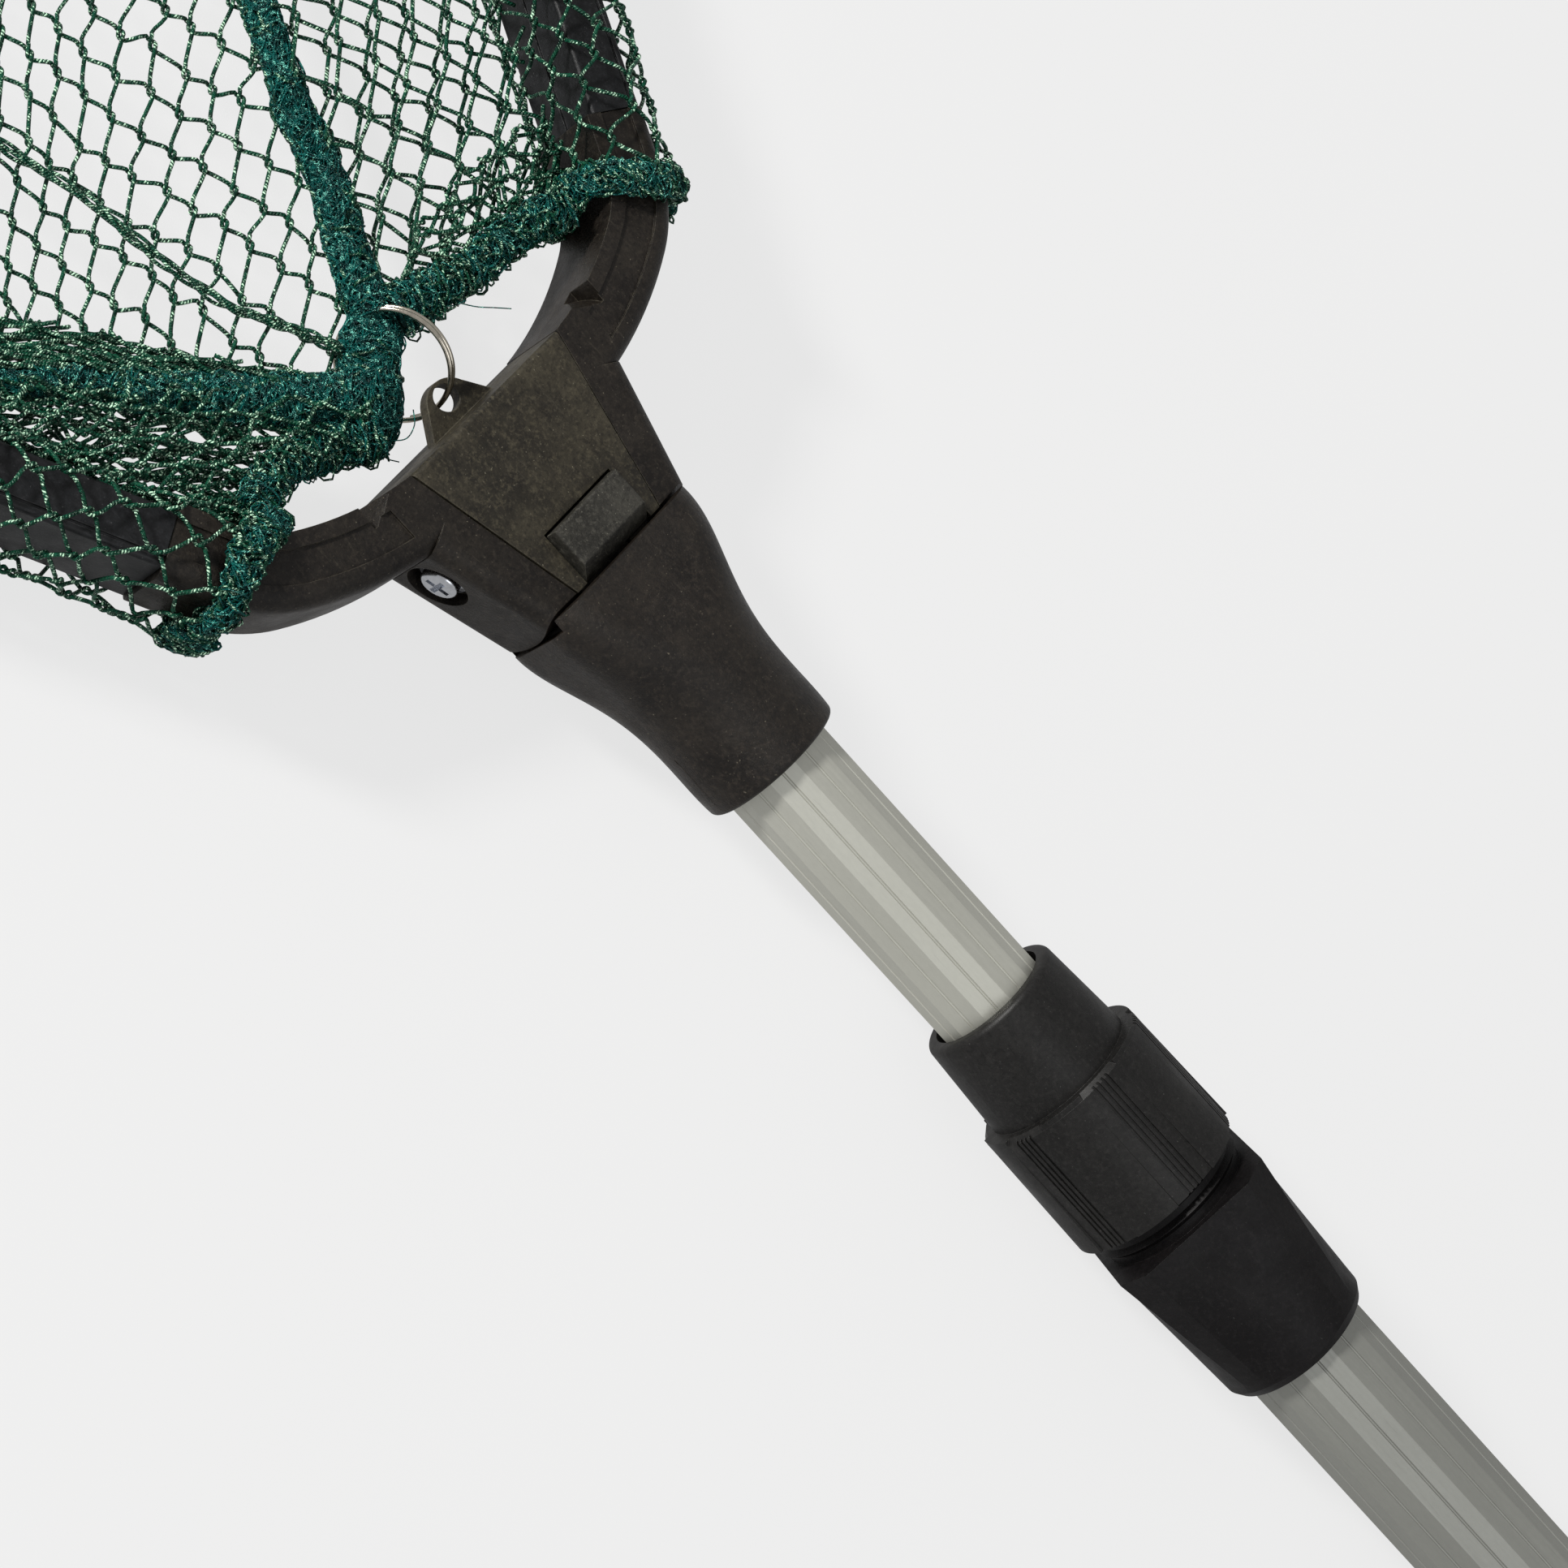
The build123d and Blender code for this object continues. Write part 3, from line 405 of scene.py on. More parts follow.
class Soup:
    """Vertices, quads and UVs gathered from many tubes and shells, made into one mesh."""

    def __init__(self):
        self.verts = []
        self.quads = []
        self.uvs = []
        self.caps = []
        self.looks = []
        self.cap_looks = []
        self.look = 0
        self.count = 0

    def grid(self, points, u):
        """A closed tube from rings of points, shaped (rings, sides, 3)."""
        rings, sides = points.shape[:2]
        index = self.count + np.arange(rings * sides).reshape(rings, sides)
        self.verts.append(points.reshape(-1, 3))
        after = np.roll(index, -1, axis=1)
        quads = np.stack([index[:-1], after[:-1], after[1:], index[1:]], axis=-1).reshape(-1, 4)
        v0 = np.broadcast_to(np.arange(sides) / sides, (rings - 1, sides))
        v1 = v0 + 1 / sides
        ua = np.broadcast_to(u[:-1, None], v0.shape)
        ub = np.broadcast_to(u[1:, None], v0.shape)
        uv = np.stack([ua, v0, ua, v1, ub, v1, ub, v0], axis=-1).reshape(-1, 4, 2)
        self.quads.append(quads)
        self.uvs.append(uv)
        self.looks.append(np.full(len(quads), self.look))
        self.caps += [index[0][::-1], index[-1]]
        self.cap_looks += [self.look] * 2
        self.count += rings * sides

    def tube(self, path, radius, sides, refs):
        """Round tube along a path; refs are directions that are roughly square to it."""
        tangent = np.gradient(path, axis=0)
        tangent /= np.linalg.norm(tangent, axis=1, keepdims=True) + 1e-12
        first = refs - tangent * np.sum(refs * tangent, axis=1, keepdims=True)
        first /= np.linalg.norm(first, axis=1, keepdims=True) + 1e-12
        second = np.cross(tangent, first)
        angle = np.arange(sides) * 2 * math.pi / sides
        ring = (first[:, None] * np.cos(angle)[None, :, None]
                + second[:, None] * np.sin(angle)[None, :, None])
        size = np.broadcast_to(np.asarray(radius, float), (len(path),))
        points = path[:, None] + ring * size[:, None, None]
        steps = np.linalg.norm(np.diff(path, axis=0), axis=1)
        self.grid(points, np.concatenate([[0], np.cumsum(steps)]))

    def build(self, name, *materials):
        verts = to_row(np.concatenate(self.verts))
        quads = np.concatenate(self.quads)
        uvs = np.concatenate(self.uvs).reshape(-1, 2)
        caps = self.caps
        sizes = np.array([4] * len(quads) + [len(c) for c in caps])
        loops = np.concatenate([quads.reshape(-1), *caps])
        uvs = np.concatenate([uvs, np.zeros((len(loops) - len(uvs), 2))])
        mesh = bpy.data.meshes.new(name)
        mesh.vertices.add(len(verts))
        mesh.vertices.foreach_set("co", verts.astype(np.float32).reshape(-1))
        mesh.loops.add(len(loops))
        mesh.loops.foreach_set("vertex_index", loops.astype(np.int32))
        mesh.polygons.add(len(sizes))
        starts = np.concatenate([[0], np.cumsum(sizes)[:-1]])
        mesh.polygons.foreach_set("loop_start", starts.astype(np.int32))
        mesh.polygons.foreach_set("use_smooth", np.ones(len(sizes), bool))
        looks = np.concatenate([*self.looks, self.cap_looks]).astype(np.int32)
        for material in materials:
            mesh.materials.append(material)
        mesh.polygons.foreach_set("material_index", looks)
        layer = mesh.uv_layers.new(name="UVMap")
        layer.data.foreach_set("uv", uvs.astype(np.float32).reshape(-1))
        mesh.update(calc_edges=True)
        mesh.validate()
        piece = bpy.data.objects.new(name, mesh)
        bpy.context.collection.objects.link(piece)
        return piece


def smooth_wave(x, y, seed, size):
    """Gentle random surface, about -1 to 1, with waves of a given size."""
    rng = np.random.default_rng(seed)
    total = np.zeros(np.broadcast(x, y).shape)
    for _ in range(6):
        heading, phase = rng.uniform(0, 2 * math.pi, 2)
        length = size * rng.uniform(0.7, 1.6)
        total = total + np.sin((x * math.cos(heading) + y * math.sin(heading)) * 2 * math.pi / length + phase)
    return total / 3.0


def inside(points, outline):
    """Which plan points lie inside an outline."""
    x, y = points[..., 0], points[..., 1]
    found = np.zeros(x.shape, bool)
    for (x0, y0), (x1, y1) in zip(outline, np.roll(outline, -1, axis=0)):
        crosses = (y0 > y) != (y1 > y)
        at = (x1 - x0) * (y - y0) / (y1 - y0 + 1e-12) + x0
        found ^= crosses & (x < at)
    return found


def stretches(mask):
    """Start and end of each run of True."""
    edges = np.flatnonzero(np.diff(np.concatenate([[False], mask, [False]]).astype(int)))
    return [(a, b) for a, b in zip(edges[::2], edges[1::2]) if b - a >= 3]


def rounded(path):
    """Corner cutting: each path point is replaced by two, a quarter of the way along its spans."""
    first = path[..., :-1, :] * 0.75 + path[..., 1:, :] * 0.25
    second = path[..., :-1, :] * 0.25 + path[..., 1:, :] * 0.75
    both = np.stack([first, second], axis=-2)
    shape = both.shape[:-3] + (both.shape[-3] * 2, 3)
    return both.reshape(shape)


YARN_R = 0.36
YARN_TWIST_R = 0.52


def hex_yarns(columns, rows, width, height, knot, seed, jitter=0.3, wrap=0):
    """Warp-knitted hexagonal netting as yarns in sheet coordinates (along, across, up).

    Each yarn zigzags between two neighbouring columns, and winds round its neighbour at each knot.
    """
    rng = np.random.default_rng(seed)
    first_row, last_row = rows
    first_column, last_column = columns
    spread = rng.normal(0, jitter, (last_column - first_column + 3, last_row - first_row + 1, 2))
    turns = np.linspace(0, 1, 6)
    yarns = []
    for column in range(first_column, last_column):
        points = []
        for row in range(first_row, last_row + 1):
            here = column if (column + row) % 2 == 0 else column + 1
            side = 1 if here == column else -1
            slot = (here - first_column) % wrap if wrap else here - first_column
            shift = spread[slot, row - first_row]
            wide = knot * (1 + 0.15 * shift[0])
            for f in turns:
                angle = 2 * math.pi * f
                points.append((row * height + shift[0] + (f - 0.5) * wide,
                               here * width / 2 + shift[1] + side * YARN_TWIST_R * math.cos(angle),
                               side * YARN_TWIST_R * math.sin(angle)))
        yarns.append(points)
    return np.array(yarns)


FINE_LIMIT = 150.0                # further from the socket the yarns are drawn with fewer points


def grown(mask):
    """A mask with each run of True one point longer at both ends."""
    more = mask.copy()
    more[..., 1:] |= mask[..., :-1]
    more[..., :-1] |= mask[..., 1:]
    return more


def lay_yarns(soup, paths, refs, keep):
    """Adds the stretches of the paths that are kept; far ones get every second point and the last."""
    for path, ref, mask in zip(paths, refs, keep):
        for a, b in stretches(mask):
            far = path[a:b, 0].min() > FINE_LIMIT
            pick = np.unique(np.append(np.arange(a, b, 2 if far else 1), b - 1))
            soup.tube(path[pick], YARN_R, 4 if far else 6, ref[pick])


KNOT = 2.6                        # a knot's length in the doubled netting


def flat_net(soup, corner, heading, columns, rows, width, height, outline, seed, z, wave, shear=0.0, warp=0.8,
             jitter=0.3):
    """Netting laid flat in the hoop: its wales leave the corner at a heading, in degrees."""
    yarns = rounded(hex_yarns(columns, rows, width, height, KNOT, seed, jitter))
    s, t, up = yarns[..., 0], yarns[..., 1], yarns[..., 2]
    s = s - shear * t
    h = math.radians(heading)
    x = corner[0] + s * math.cos(h) - t * math.sin(h)
    y = corner[1] + s * math.sin(h) + t * math.cos(h)
    dx = warp * smooth_wave(x, y, seed + 1, 46)
    dy = warp * smooth_wave(x, y, seed + 2, 52)
    height_map = wave * smooth_wave(x, y, seed + 3, 70) + 0.3 * wave * smooth_wave(x, y, seed + 4, 19)
    path = np.stack([x + dx, y + dy, z + up + height_map], axis=-1)
    refs = np.broadcast_to(np.array([0, 0, 1.0]), path.shape)
    lay_yarns(soup, path, refs, inside(path, outline))


# --- seams, hems and cuffs: a soft core covered with loose threads -----------------------------------

THREAD_R = 0.155
EDGING_PITCH = 2.4                # between the zigzag's points along an edge
# the core's slot holds the darker copy of the hem yarn, which is painted shade
THREAD_LOOK, PAINTED_SHADE_CORE_LOOK, NET_LOOK = range(3)               # a fuzzy piece's material slots


class Band:
    """A flattened tube along a line, given by its centres, side directions and normals."""

    def __init__(self, centres, sides, normals, half_width, half_thick, seed):
        self.centres = np.asarray(centres, float)
        self.sides = np.asarray(sides, float)
        self.normals = np.asarray(normals, float)
        self.half_width = np.asarray(half_width, float) * np.ones(len(centres))
        self.half_thick = np.asarray(half_thick, float) * np.ones(len(centres))
        spans = np.linalg.norm(np.diff(self.centres, axis=0), axis=1)
        self.length = spans.sum()
        self.steps = np.concatenate([[0], np.cumsum(spans)]) / self.length
        self.seed = seed

    def at(self, values, u):
        """Values at shares u of the band's length."""
        return np.stack([np.interp(u, self.steps, values[:, k]) for k in range(values.shape[1])], axis=-1)

    def surface(self, u, angle, lift):
        """Point and normal on the surface, raised by a lift."""
        centre = self.at(self.centres, u)
        side = self.at(self.sides, u)
        normal = self.at(self.normals, u)
        lump = 1 + 0.13 * smooth_wave(u * self.length, angle * 3, self.seed, 9.0)
        wide = np.interp(u, self.steps, self.half_width) * lump + lift
        thick = np.interp(u, self.steps, self.half_thick) * lump + lift
        c, s = np.cos(angle), np.sin(angle)
        point = centre + side * (wide * c)[..., None] + normal * (thick * s)[..., None]
        out = side * (thick * c)[..., None] + normal * (wide * s)[..., None]
        out /= np.linalg.norm(out, axis=-1, keepdims=True) + 1e-12
        return point, out

    def core(self, soup):
        rings = max(int(self.length / 1.2), 8)
        u = np.linspace(0, 1, rings)
        angle = np.arange(14) * 2 * math.pi / 14
        uu, aa = np.meshgrid(u, angle, indexing="ij")
        points, _ = self.surface(uu, aa, -0.25)
        soup.grid(points, u * self.length)

    def threads(self, soup, density, length, radius, lean, lift, rng):
        """Short loose threads over the core: lean is how far they stray from the band's line."""
        around = math.pi * (self.half_width.mean() + self.half_thick.mean())
        count = int(self.length * around * density)
        steps = 7
        for _ in range(count):
            u0 = rng.uniform(0, 1)
            x = self.at(self.centres, np.array([u0]))[0, 0]
            if x > FINE_LIMIT and rng.uniform() > 0.3:
                continue
            heading = rng.normal(0, lean) + (math.pi if rng.uniform() < 0.5 else 0)
            bend = rng.normal(0, 0.35, steps).cumsum()
            span = length * rng.uniform(0.6, 1.5) / steps
            du = np.cumsum(np.cos(heading + bend)) * span / self.length
            da = np.cumsum(np.sin(heading + bend)) * span / (around / (2 * math.pi))
            u = np.clip(u0 + du, 0, 1)
            angle = rng.uniform(0, 2 * math.pi) + da
            arch = np.sin(np.linspace(0, math.pi, steps))
            raised = rng.uniform(-0.25, 0.35) + lift * arch * rng.uniform(0.1, 1.0)
            path, out = self.surface(u, angle, raised)
            if np.linalg.norm(np.diff(path, axis=0), axis=1).min() > 0.02:
                soup.tube(path, radius * rng.uniform(0.8, 1.3), 4, out)

    def edging(self, soup, pitch, reach, rng):
        """Zigzags of net yarn along both edges, where the mesh joins the band."""
        count = int(self.length / pitch)
        for edge in (0.0, math.pi):
            for phase in (0, 1):
                steps = np.arange(count)
                u = (steps + 0.5 * phase + rng.uniform(0.1, 0.8, count)) / (count + 1)
                low = (steps + phase) % 2 == 0
                lift = np.where(low, -0.8, reach) * rng.uniform(0.5, 1.1, count)
                points, _ = self.surface(u, edge + rng.normal(0, 0.25, count), lift)
                refs = self.at(self.normals, u)
                soup.tube(rounded(points), YARN_R * 0.8, 5, rounded(refs))


def curve_through(points, count):
    """Smooth line through given points (Catmull-Rom)."""
    p = np.asarray(points, float)
    p = np.concatenate([[2 * p[0] - p[1]], p, [2 * p[-1] - p[-2]]])
    out = []
    spans = len(p) - 3
    for value in np.linspace(0, spans, count):
        k = min(int(value), spans - 1)
        f = value - k
        a, b, c, d = p[k:k + 4]
        out.append(0.5 * (2 * b + (c - a) * f + (2 * a - 5 * b + 4 * c - d) * f ** 2
                          + (3 * b - a - 3 * c + d) * f ** 3))
    return np.array(out)


def flat_band(points, half_width, half_thick, seed, count):
    """Band that lies flat: its points are (x, y, z), and the widths are given at even steps."""
    line = curve_through(points, count)
    tangent = np.gradient(line, axis=0)
    tangent /= np.linalg.norm(tangent, axis=1, keepdims=True)
    side = np.cross(tangent, [0, 0, 1.0])
    side /= np.linalg.norm(side, axis=1, keepdims=True)
    normal = np.cross(side, tangent)
    where = np.linspace(0, 1, count)
    widths = np.interp(where, np.linspace(0, 1, len(half_width)), half_width)
    thick = np.interp(where, np.linspace(0, 1, len(half_thick)), half_thick)
    return Band(line, side, normal, widths, thick, seed)


def fuzzy(name, band, seed, density, lean, lift=0.5, length=6.0, edge=1.3, green=0.05):
    """A band's core in a darker copy of the hem yarn (painted shade), loose teal threads, some green ones and
    its edging as one piece.
    """
    soup = Soup()
    rng = np.random.default_rng(seed)
    # painted shade: the core gets the darker copy of the hem yarn
    soup.look = PAINTED_SHADE_CORE_LOOK
    band.core(soup)
    soup.look = THREAD_LOOK
    band.threads(soup, density, length, THREAD_R, lean, lift, rng)
    soup.look = NET_LOOK
    band.threads(soup, density * green, length * 0.8, YARN_R * 0.6, lean * 1.4, lift * 1.4, rng)
    band.edging(soup, EDGING_PITCH, edge, rng)
    return soup.build(name, HEM, HEM_PAINTED_SHADE_CORE, NETTING)


# --- the net's layout --------------------------------------------------------------------------------

RING = to_head(sum((Vector(c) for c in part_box("split_ring")), Vector()) / 2)
CORNER = np.array([RING[0] + 8.0, RING[1] - 2.3])         # where the net is tied by the ring
PANEL_HEADING = -26.5             # the bag's centre seam and its wales leave the corner at this heading
ARM_INSIDE = -7.4                 # the netting stops this far inside an arm's centre line
TIP = RAIL_LENGTH + 5.5           # the front hem's place along the arms
HEM_SAG = 14.0
LOW_Z = -3.2


def front_line(y):
    """The front hem's x at each y."""
    tip = arm_point(TIP, 0.0)
    return tip[0] - HEM_SAG * (1 - (np.asarray(y, float) / tip[1]) ** 2)


SEAM_REACH = (300.0, 460.0)       # the centre seam's length lies between these


def seam_line():
    """Centre seam, from the corner along the panel's edge to the front hem."""
    h = math.radians(PANEL_HEADING)
    reach = np.arange(*SEAM_REACH)
    beyond = CORNER[0] + reach * math.cos(h) > front_line(CORNER[1] + reach * math.sin(h))
    along = np.array([0, 12, 24, 38, 50, 80, 130, 200, 280, reach[beyond.argmax()]])
    across = np.array([0, 0.4, -0.8, 0.6, 0.2, 1.5, -1.0, 2.0, 1.0, 0])
    x = CORNER[0] + along * math.cos(h) - across * math.sin(h)
    y = CORNER[1] + along * math.sin(h) + across * math.cos(h)
    return np.stack([x, y], axis=-1)


def band_a_line():
    """Gathered seam: from the corner across to the left arm, then along the arm's inner side."""
    start = np.array([(44, 9.5), (50.5, 18), (59.5, 28), (69, 37.5), (79, 47.5), (90, 61)], float)
    rest = arm_point(np.array([62.0, 90.0, 150.0, 230.0, 320.0, RAIL_LENGTH - 4]), ARM_INSIDE - 1.0)
    return np.concatenate([start, rest])


def with_z(points, z):
    """Plan points with a height."""
    return np.column_stack([points, np.broadcast_to(z, len(points))])


def half_outline(side, start, inner):
    """Plan outline between an inner line and an arm, up to the front hem."""
    arm = arm_point(np.array([start, RAIL_LENGTH - 2]), ARM_INSIDE, side)
    hem_y = np.linspace(arm[1, 1], inner[-1, 1], 8)
    hem = np.column_stack([front_line(hem_y), hem_y])
    return np.concatenate([arm, hem, inner[::-1]])


def make_panels():
    """The single-layer bag panel, split along the middle of the hoop so that each half folds."""
    seam = seam_line()
    band_a = band_a_line()
    far_y = np.linspace(arm_point(RAIL_LENGTH - 2, ARM_INSIDE)[1], seam[-1, 1], 12)
    hem = np.column_stack([front_line(far_y), far_y])
    whole = np.concatenate([band_a, hem, seam[::-1]])
    big = 500.0
    halves = []
    for side in (1, -1):
        soup = Soup()
        band = [(-big, 0), (big, 0), (big, side * big), (-big, side * big)]
        panel_half(soup, whole, np.array(band, float))
        halves.append(soup)
    return halves


def column_spacing(t):
    """Cells are widest beside the centre seam and narrow towards the gathered seam."""
    return np.where(t < 60, t * (1.12 - 0.0032 * t), 55.7 + (t - 60) * 0.78)


def panel_half(soup, whole, half):
    yarns = rounded(hex_yarns((-6, 120), (-14, 100), 7.4, 5.35, 3.1, 11, 0.42))
    s, t, up = yarns[..., 0], yarns[..., 1], yarns[..., 2]
    t = column_spacing(t)
    s = s - 0.38 * t
    h = math.radians(PANEL_HEADING)
    x = CORNER[0] + s * math.cos(h) - t * math.sin(h)
    y = CORNER[1] + s * math.sin(h) + t * math.cos(h)
    x = x + 1.0 * smooth_wave(x, y, 21, 48)
    y = y + 1.0 * smooth_wave(x, y, 22, 57)
    z = LOW_Z + up + 1.3 * smooth_wave(x, y, 23, 70) + 0.4 * smooth_wave(x, y, 24, 21)
    path = np.stack([x, y, z], axis=-1)
    refs = np.broadcast_to(np.array([0, 0, 1.0]), path.shape)
    lay_yarns(soup, path, refs, inside(path, whole) & grown(inside(path, half)))


FOLD = np.array([(54, -5), (60, -18), (61, -34), (60, -50), (45, -50), (43, -39), (44.5, -31),
                 (47.5, -21), (50.5, -7)], float)         # the ragged netting by the right hem

# layers of bunched netting: where they start, heading, columns, rows, width and height of the cells,
# seed, height above the axis, wave, warp and jitter
FOLD_LAYERS = [
    ((53, -4), -97.0, (-8, 8), (-1, 11), 5.0, 4.6, 38, 2.2, 1.4, 1.5, 0.6),
    ((55, -4), -84.0, (-8, 8), (-1, 11), 4.2, 5.2, 39, 0.8, 1.4, 1.8, 0.6),
]
WEDGE_LAYERS = [
    ((42, 13), 47.0, (-12, 12), (-1, 16), 3.4, 6.4, 41, -1.5, 1.6, 1.6, 0.6),
    ((42, 13), 33.0, (-12, 14), (-2, 16), 4.6, 5.6, 43, 1.5, 2.0, 2.0, 0.6),
    ((44, 16), 64.0, (-16, 14), (-3, 14), 5.2, 5.4, 47, 3.6, 2.2, 2.0, 0.5),
    ((43, 14), 40.0, (-14, 16), (-2, 17), 2.8, 5.4, 49, 0.4, 1.8, 2.0, 0.6),
    ((42, 15), 52.0, (-14, 16), (-2, 17), 3.2, 4.9, 51, 2.6, 1.8, 2.2, 0.6),
]
GATHERED_LAYERS = [
    ((46, 14), 48.5, (-14, 4), (-1, 15), 2.9, 7.2, 53, -0.5, 1.4, 1.4, 0.5),
    ((46, 14), 41.0, (-10, 6), (-1, 15), 3.8, 6.6, 59, 1.2, 1.4, 1.6, 0.5),
]


def make_folds(soups):
    """Doubled netting: between the centre seam and the right arm, and beside the gathered seam."""
    left, right = soups
    lay_gathers(left)
    strip = half_outline(-1, -16, seam_line())
    flat_net(right, CORNER, -18.0, (-70, 6), (-2, 76), 8.4, 5.2, strip, 31, z=-3.6, wave=1.2, shear=0.1)
    flat_net(right, CORNER, -22.0, (-52, 18), (-2, 66), 8.8, 6.0, strip, 37, z=0.2, wave=1.5, shear=0.22)
    lay_layers(right, FOLD, FOLD_LAYERS)
    gathered = band_a_line()[:7]
    wedge = np.concatenate([gathered, arm_point(np.array([58.0, 30.0, 0.0, -13.0]), ARM_INSIDE + 2),
                            [(45.0, 30.0), (42.0, 18.0)]])
    lay_layers(left, wedge, WEDGE_LAYERS)
    upper = gathered + np.array([7.5, -7.5]) * np.linspace(0.25, 1.25, 7)[:, None]
    lay_layers(left, np.concatenate([gathered, upper[::-1]]), GATHERED_LAYERS)


def lay_layers(soup, outline, layers):
    """Several layers of bunched netting over the same outline."""
    for start, heading, columns, rows, width, height, seed, z, wave, warp, jitter in layers:
        flat_net(soup, start, heading, columns, rows, width, height, outline, seed, z, wave,
                 warp=warp, jitter=jitter)


CREASE = [(54, 8, 0.5), (62, 12.5, 0.2), (71, 17, -0.5), (85, 20.5, -1.0), (99, 23, -1.5), (113, 27, -1.8),
          (128, 30.5, -2.2), (146, 34, -2.6)]


def lay_crease(soup, points, strands, loose):
    """Strands of the netting drawn together into a loose cord."""
    line = curve_through(points, 40 * len(points))
    where = np.linspace(0, 1, len(line))
    up = np.broadcast_to(np.array([0, 0, 1.0]), line.shape)
    for k in range(strands):
        turn = where * 4.2 * len(points) + k * 2 * math.pi / strands
        spread = loose * (0.6 + 0.4 * np.sin(where * 19 + 2.1 * k))
        offset = np.stack([-0.4 * np.cos(turn), np.cos(turn), 0.9 * np.sin(turn)], axis=-1)
        soup.tube(line + offset * spread[:, None], YARN_R * 0.9, 6, up)


def lay_gathers(soup):
    """The main crease across the panel, and the mesh bunched along the gathered seam."""
    lay_crease(soup, CREASE, 4, 0.95)
    seam = band_a_line()[:9]
    taper = np.linspace(0.3, 1.0, len(seam))[:, None]
    for inward, z, strands, loose in ((3.8, 1.2, 5, 1.0), (6.2, 0.6, 5, 1.3), (8.8, -0.2, 4, 1.1),
                                      (11.5, -0.8, 4, 0.9)):
        shift = np.array([0.66, -0.75]) * inward * taper
        drift = 0.8 * np.sin(np.arange(len(seam)) * 1.7 + inward)[:, None] * taper
        lay_crease(soup, with_z(seam + shift + drift, z), strands, loose)


SLEEVE_START = -12.5
SLEEVE_ROLL_R = 10.0              # the flat netting is rolled up round this radius


def sleeve_section(along, angle, side):
    """Point and outward normal on the netting sleeve round an arm."""
    flare = np.exp(-np.clip(along - SLEEVE_START, 0, None) / 9.0)
    sag = smooth_wave(along, angle * 8, 61 + side, 42)
    c, s = np.cos(angle), np.sin(angle)
    blunt_c = np.sign(c) * np.abs(c) ** 0.8
    blunt_s = np.sign(s) * np.abs(s) ** 0.8
    outer = np.where(c > 0, 9.6 + 2.2 * flare + 0.9 * sag, 8.2 + 3.0 * flare + 0.4 * sag)
    out = outer * blunt_c - 1.2 * flare
    z = (11.6 + 1.2 * flare + 0.5 * sag) * blunt_s
    xy = RAIL_REAR + along[..., None] * ALONG + out[..., None] * OUT
    xy = xy * np.array([1, side])
    normal = np.concatenate([(c[..., None] * OUT) * np.array([1, side]), s[..., None]], axis=-1)
    return np.concatenate([xy, z[..., None]], axis=-1), normal


def make_sleeve(side, name):
    around = 8
    row = 4.9
    rows = int((RAIL_LENGTH - SLEEVE_START) / row)
    soup = Soup()
    width = 2 * math.pi * SLEEVE_ROLL_R / around
    yarns = rounded(hex_yarns((0, 2 * around), (0, rows), width, row, 2.7, 71 + side, 0.5, wrap=2 * around))
    along = SLEEVE_START + 1.5 + yarns[..., 0]
    angle = yarns[..., 1] / SLEEVE_ROLL_R + 0.35 * np.sin(along / 37) + along / 90
    along = along + 1.6 * smooth_wave(along, angle * 8, 75 + side, 30)
    point, normal = sleeve_section(along, angle, side)
    path = point + normal * yarns[..., 2][..., None]
    lay_yarns(soup, path, normal, along < RAIL_LENGTH - 4)
    return soup.build(name, NETTING)


def make_cuff(side, name, slant, seed):
    """Thick knitted edge of the sleeve's rear end, round the elbow."""
    angle = np.linspace(0, 2 * math.pi, 73)
    lean = SLEEVE_START + slant * np.cos(angle) + 0.8 * np.sin(3 * angle + seed)
    centre, normal = sleeve_section(lean, angle, side)
    centre = centre - normal * 0.9
    along = np.concatenate([ALONG * np.array([1, side]), [0]])
    sides = np.broadcast_to(along, centre.shape)
    wave = smooth_wave(angle * 6, angle * 0, seed, 9)
    band = Band(centre, sides, normal, 2.4 + 0.7 * wave, 0.7, seed)
    return fuzzy(name, band, seed, density=1.5, lean=0.75, lift=1.3, length=5.5, edge=1.8,
                 green=0.4)


def loose_ends():
    """A few thread ends that stick out of the tied corner and the hems."""
    soup = Soup()
    ends = [[(48, -13, 0), (44, -15, 2), (41.5, -17.5, 2.5), (39.5, -20, 2)],
            [(50, -9, 1), (47, -11, 2.5), (45.6, -14, 3)],
            [(38, 13, 1), (36.5, 11, 2), (37.2, 8.5, 2.5), (39, 6.5, 2)],
            [(39, 15, 0), (36.5, 15.6, 1), (34.6, 14.6, 1.5)],
            [(41, 18, 0), (38.6, 18.6, 0.5), (37.0, 18.0, 1)]]
    for points in ends:
        line = curve_through(points, 16)
        soup.tube(line, 0.11, 5, np.broadcast_to(np.array([0, 0, 1.0]), line.shape))
    return soup.build("loose_threads", HEM)


def fold_with_arm(piece, name):
    """Rides an arm, on a mesh of its own."""
    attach(piece, f"arm_{name}")
    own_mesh(piece)


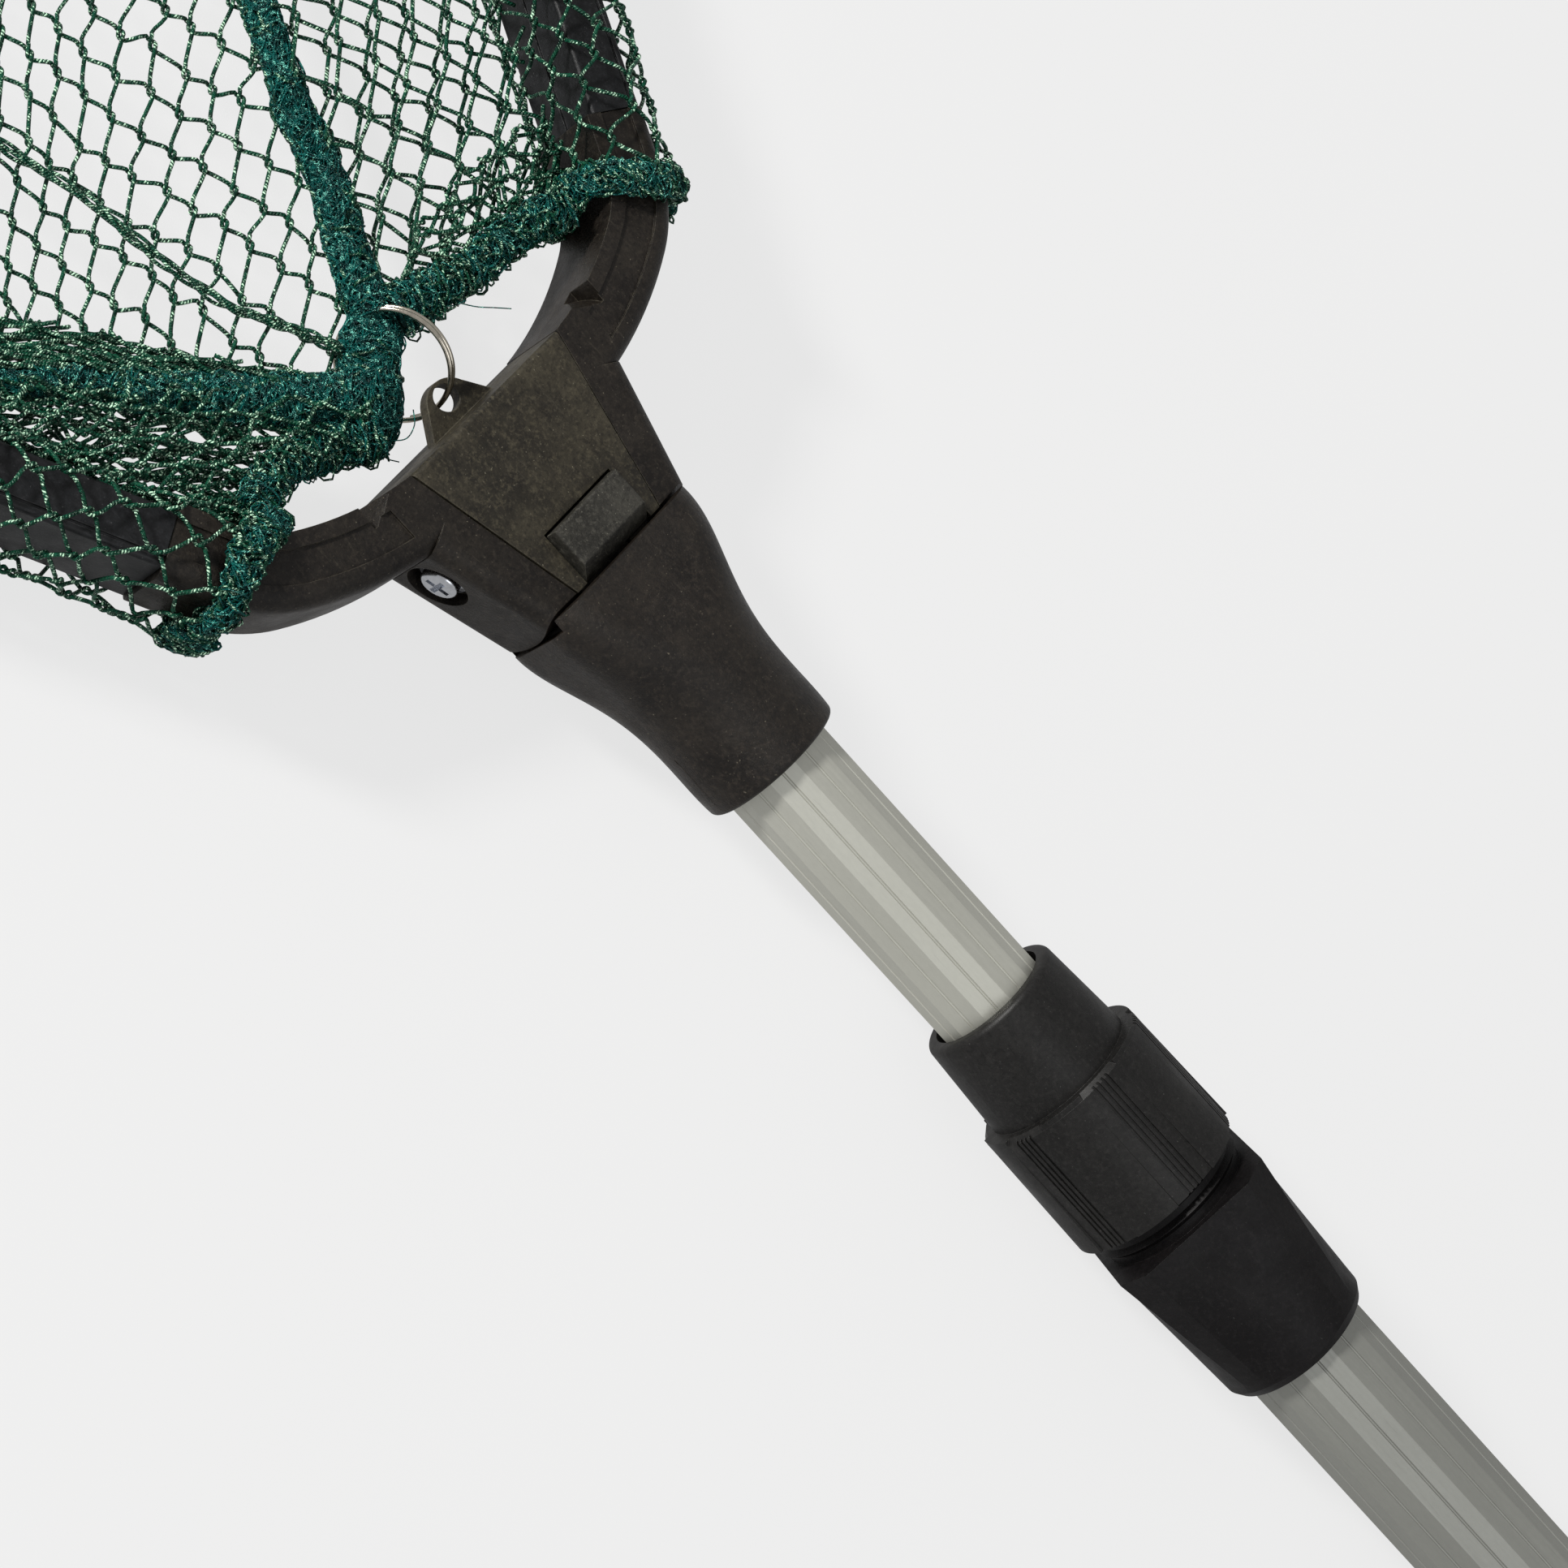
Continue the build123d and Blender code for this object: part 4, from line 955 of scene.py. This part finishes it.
def make_net():
    soups = make_panels()
    make_folds(soups)
    for soup, name in zip(soups, ("left", "right")):
        piece = soup.build(f"net_mesh_{name}", NETTING)
        fold_with_arm(piece, name)
        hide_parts(f"net_{name}")
    seam = seam_line()
    seam_z = np.interp(np.arange(len(seam)), [0, 2, len(seam) - 1], [0.0, -1.0, -2.2])
    band = flat_band(with_z(seam, seam_z), [3.4, 3.1, 3.0, 2.6, 2.4, 2.4, 2.4, 2.4],
                     [2.2, 1.8, 1.7, 1.5, 1.3, 1.3, 1.3, 1.3], 81, 150)
    fold_with_arm(fuzzy("seam_centre", band, 82, density=2.1, lean=0.32), "right")
    gathered = band_a_line()
    z = np.interp(np.arange(len(gathered)), [0, 4, len(gathered) - 1], [0.5, 0.0, -1.5])
    band = flat_band(with_z(gathered, z), [4.6, 4.0, 3.0, 2.2, 1.8, 1.8, 1.8, 1.8],
                     [2.4, 2.0, 1.6, 1.4, 1.2, 1.2, 1.2, 1.2], 83, 170)
    fold_with_arm(fuzzy("seam_gathered", band, 84, density=2.1, lean=0.25, lift=0.6), "left")
    middle = RING + np.array([0.7, 6.2, 1.2])
    step = np.array([5.0, -5.7, 0.2])
    line = [middle - 1.55 * step, middle - 0.9 * step, middle, middle + 0.9 * step, middle + 1.7 * step]
    band = flat_band(line, [3.0, 4.8, 4.6, 4.3, 3.0], [1.6, 2.6, 2.6, 2.4, 1.6], 85, 60)
    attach(fuzzy("net_corner", band, 86, density=2.4, lean=0.9, lift=0.7), "yoke")
    for side, name in ((1, "left"), (-1, "right")):
        make_side(side, name)
    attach(loose_ends(), "yoke")


HEM_POINTS = {
    1: [(41, 14, 1.0), (43.5, 21, 1.0), (46.5, 29, 2.0), (47.0, 35.5, 3.5), (45.0, 41, 6.0)],
    -1: [(52, -4, 1.0), (50.5, -12, 1.0), (48.5, -21, 1.0), (48.0, -30, 2.5), (45.5, -39, 6.0)],
}


def make_side(side, name):
    sleeve = make_sleeve(side, f"sleeve_mesh_{name}")
    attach(sleeve, f"arm_{name}")
    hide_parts(f"arm_sleeve_{name}")
    cuff = make_cuff(side, f"sleeve_cuff_{name}", 2.0 if side == 1 else -1.5, 90 + side)
    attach(cuff, f"arm_{name}")
    points = HEM_POINTS[side]
    band = flat_band(points, [3.2, 2.3, 1.8, 1.8, 2.0], [1.6, 1.2, 1.0, 1.0, 1.0], 95 + side, 60)
    hem = fuzzy(f"rear_hem_{name}", band, 97 + side, density=1.8, lean=0.5, lift=2.0, edge=2.6, green=0.45)
    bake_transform(hem)
    y = np.linspace(arm_point(TIP, 0.0)[1], 0.0, 9)
    line = np.column_stack([front_line(y), y * side, np.linspace(0, LOW_Z, 9)])
    band = flat_band(line, [1.3, 2.2, 2.4, 2.4, 2.4], [1.2, 1.4, 1.4, 1.4, 1.4], 99 + side, 120)
    fold_with_arm(fuzzy(f"front_hem_{name}", band, 101 + side, density=1.6, lean=0.5), name)


# --- put together ------------------------------------------------------------------------------------

bpy.context.scene.view_settings.view_transform = "Standard"
add_world((1.0, 1.0, 1.0), 0.42)
aimed_light("key", -0.75, 0.85, 1.25, 0.28, 34.0, (1.0, 0.985, 0.96))
aimed_light("fill", 0.9, -0.6, 1.1, 0.9, 3.0, (0.95, 0.97, 1.0))
add_floor()
paint_cad()
make_net()
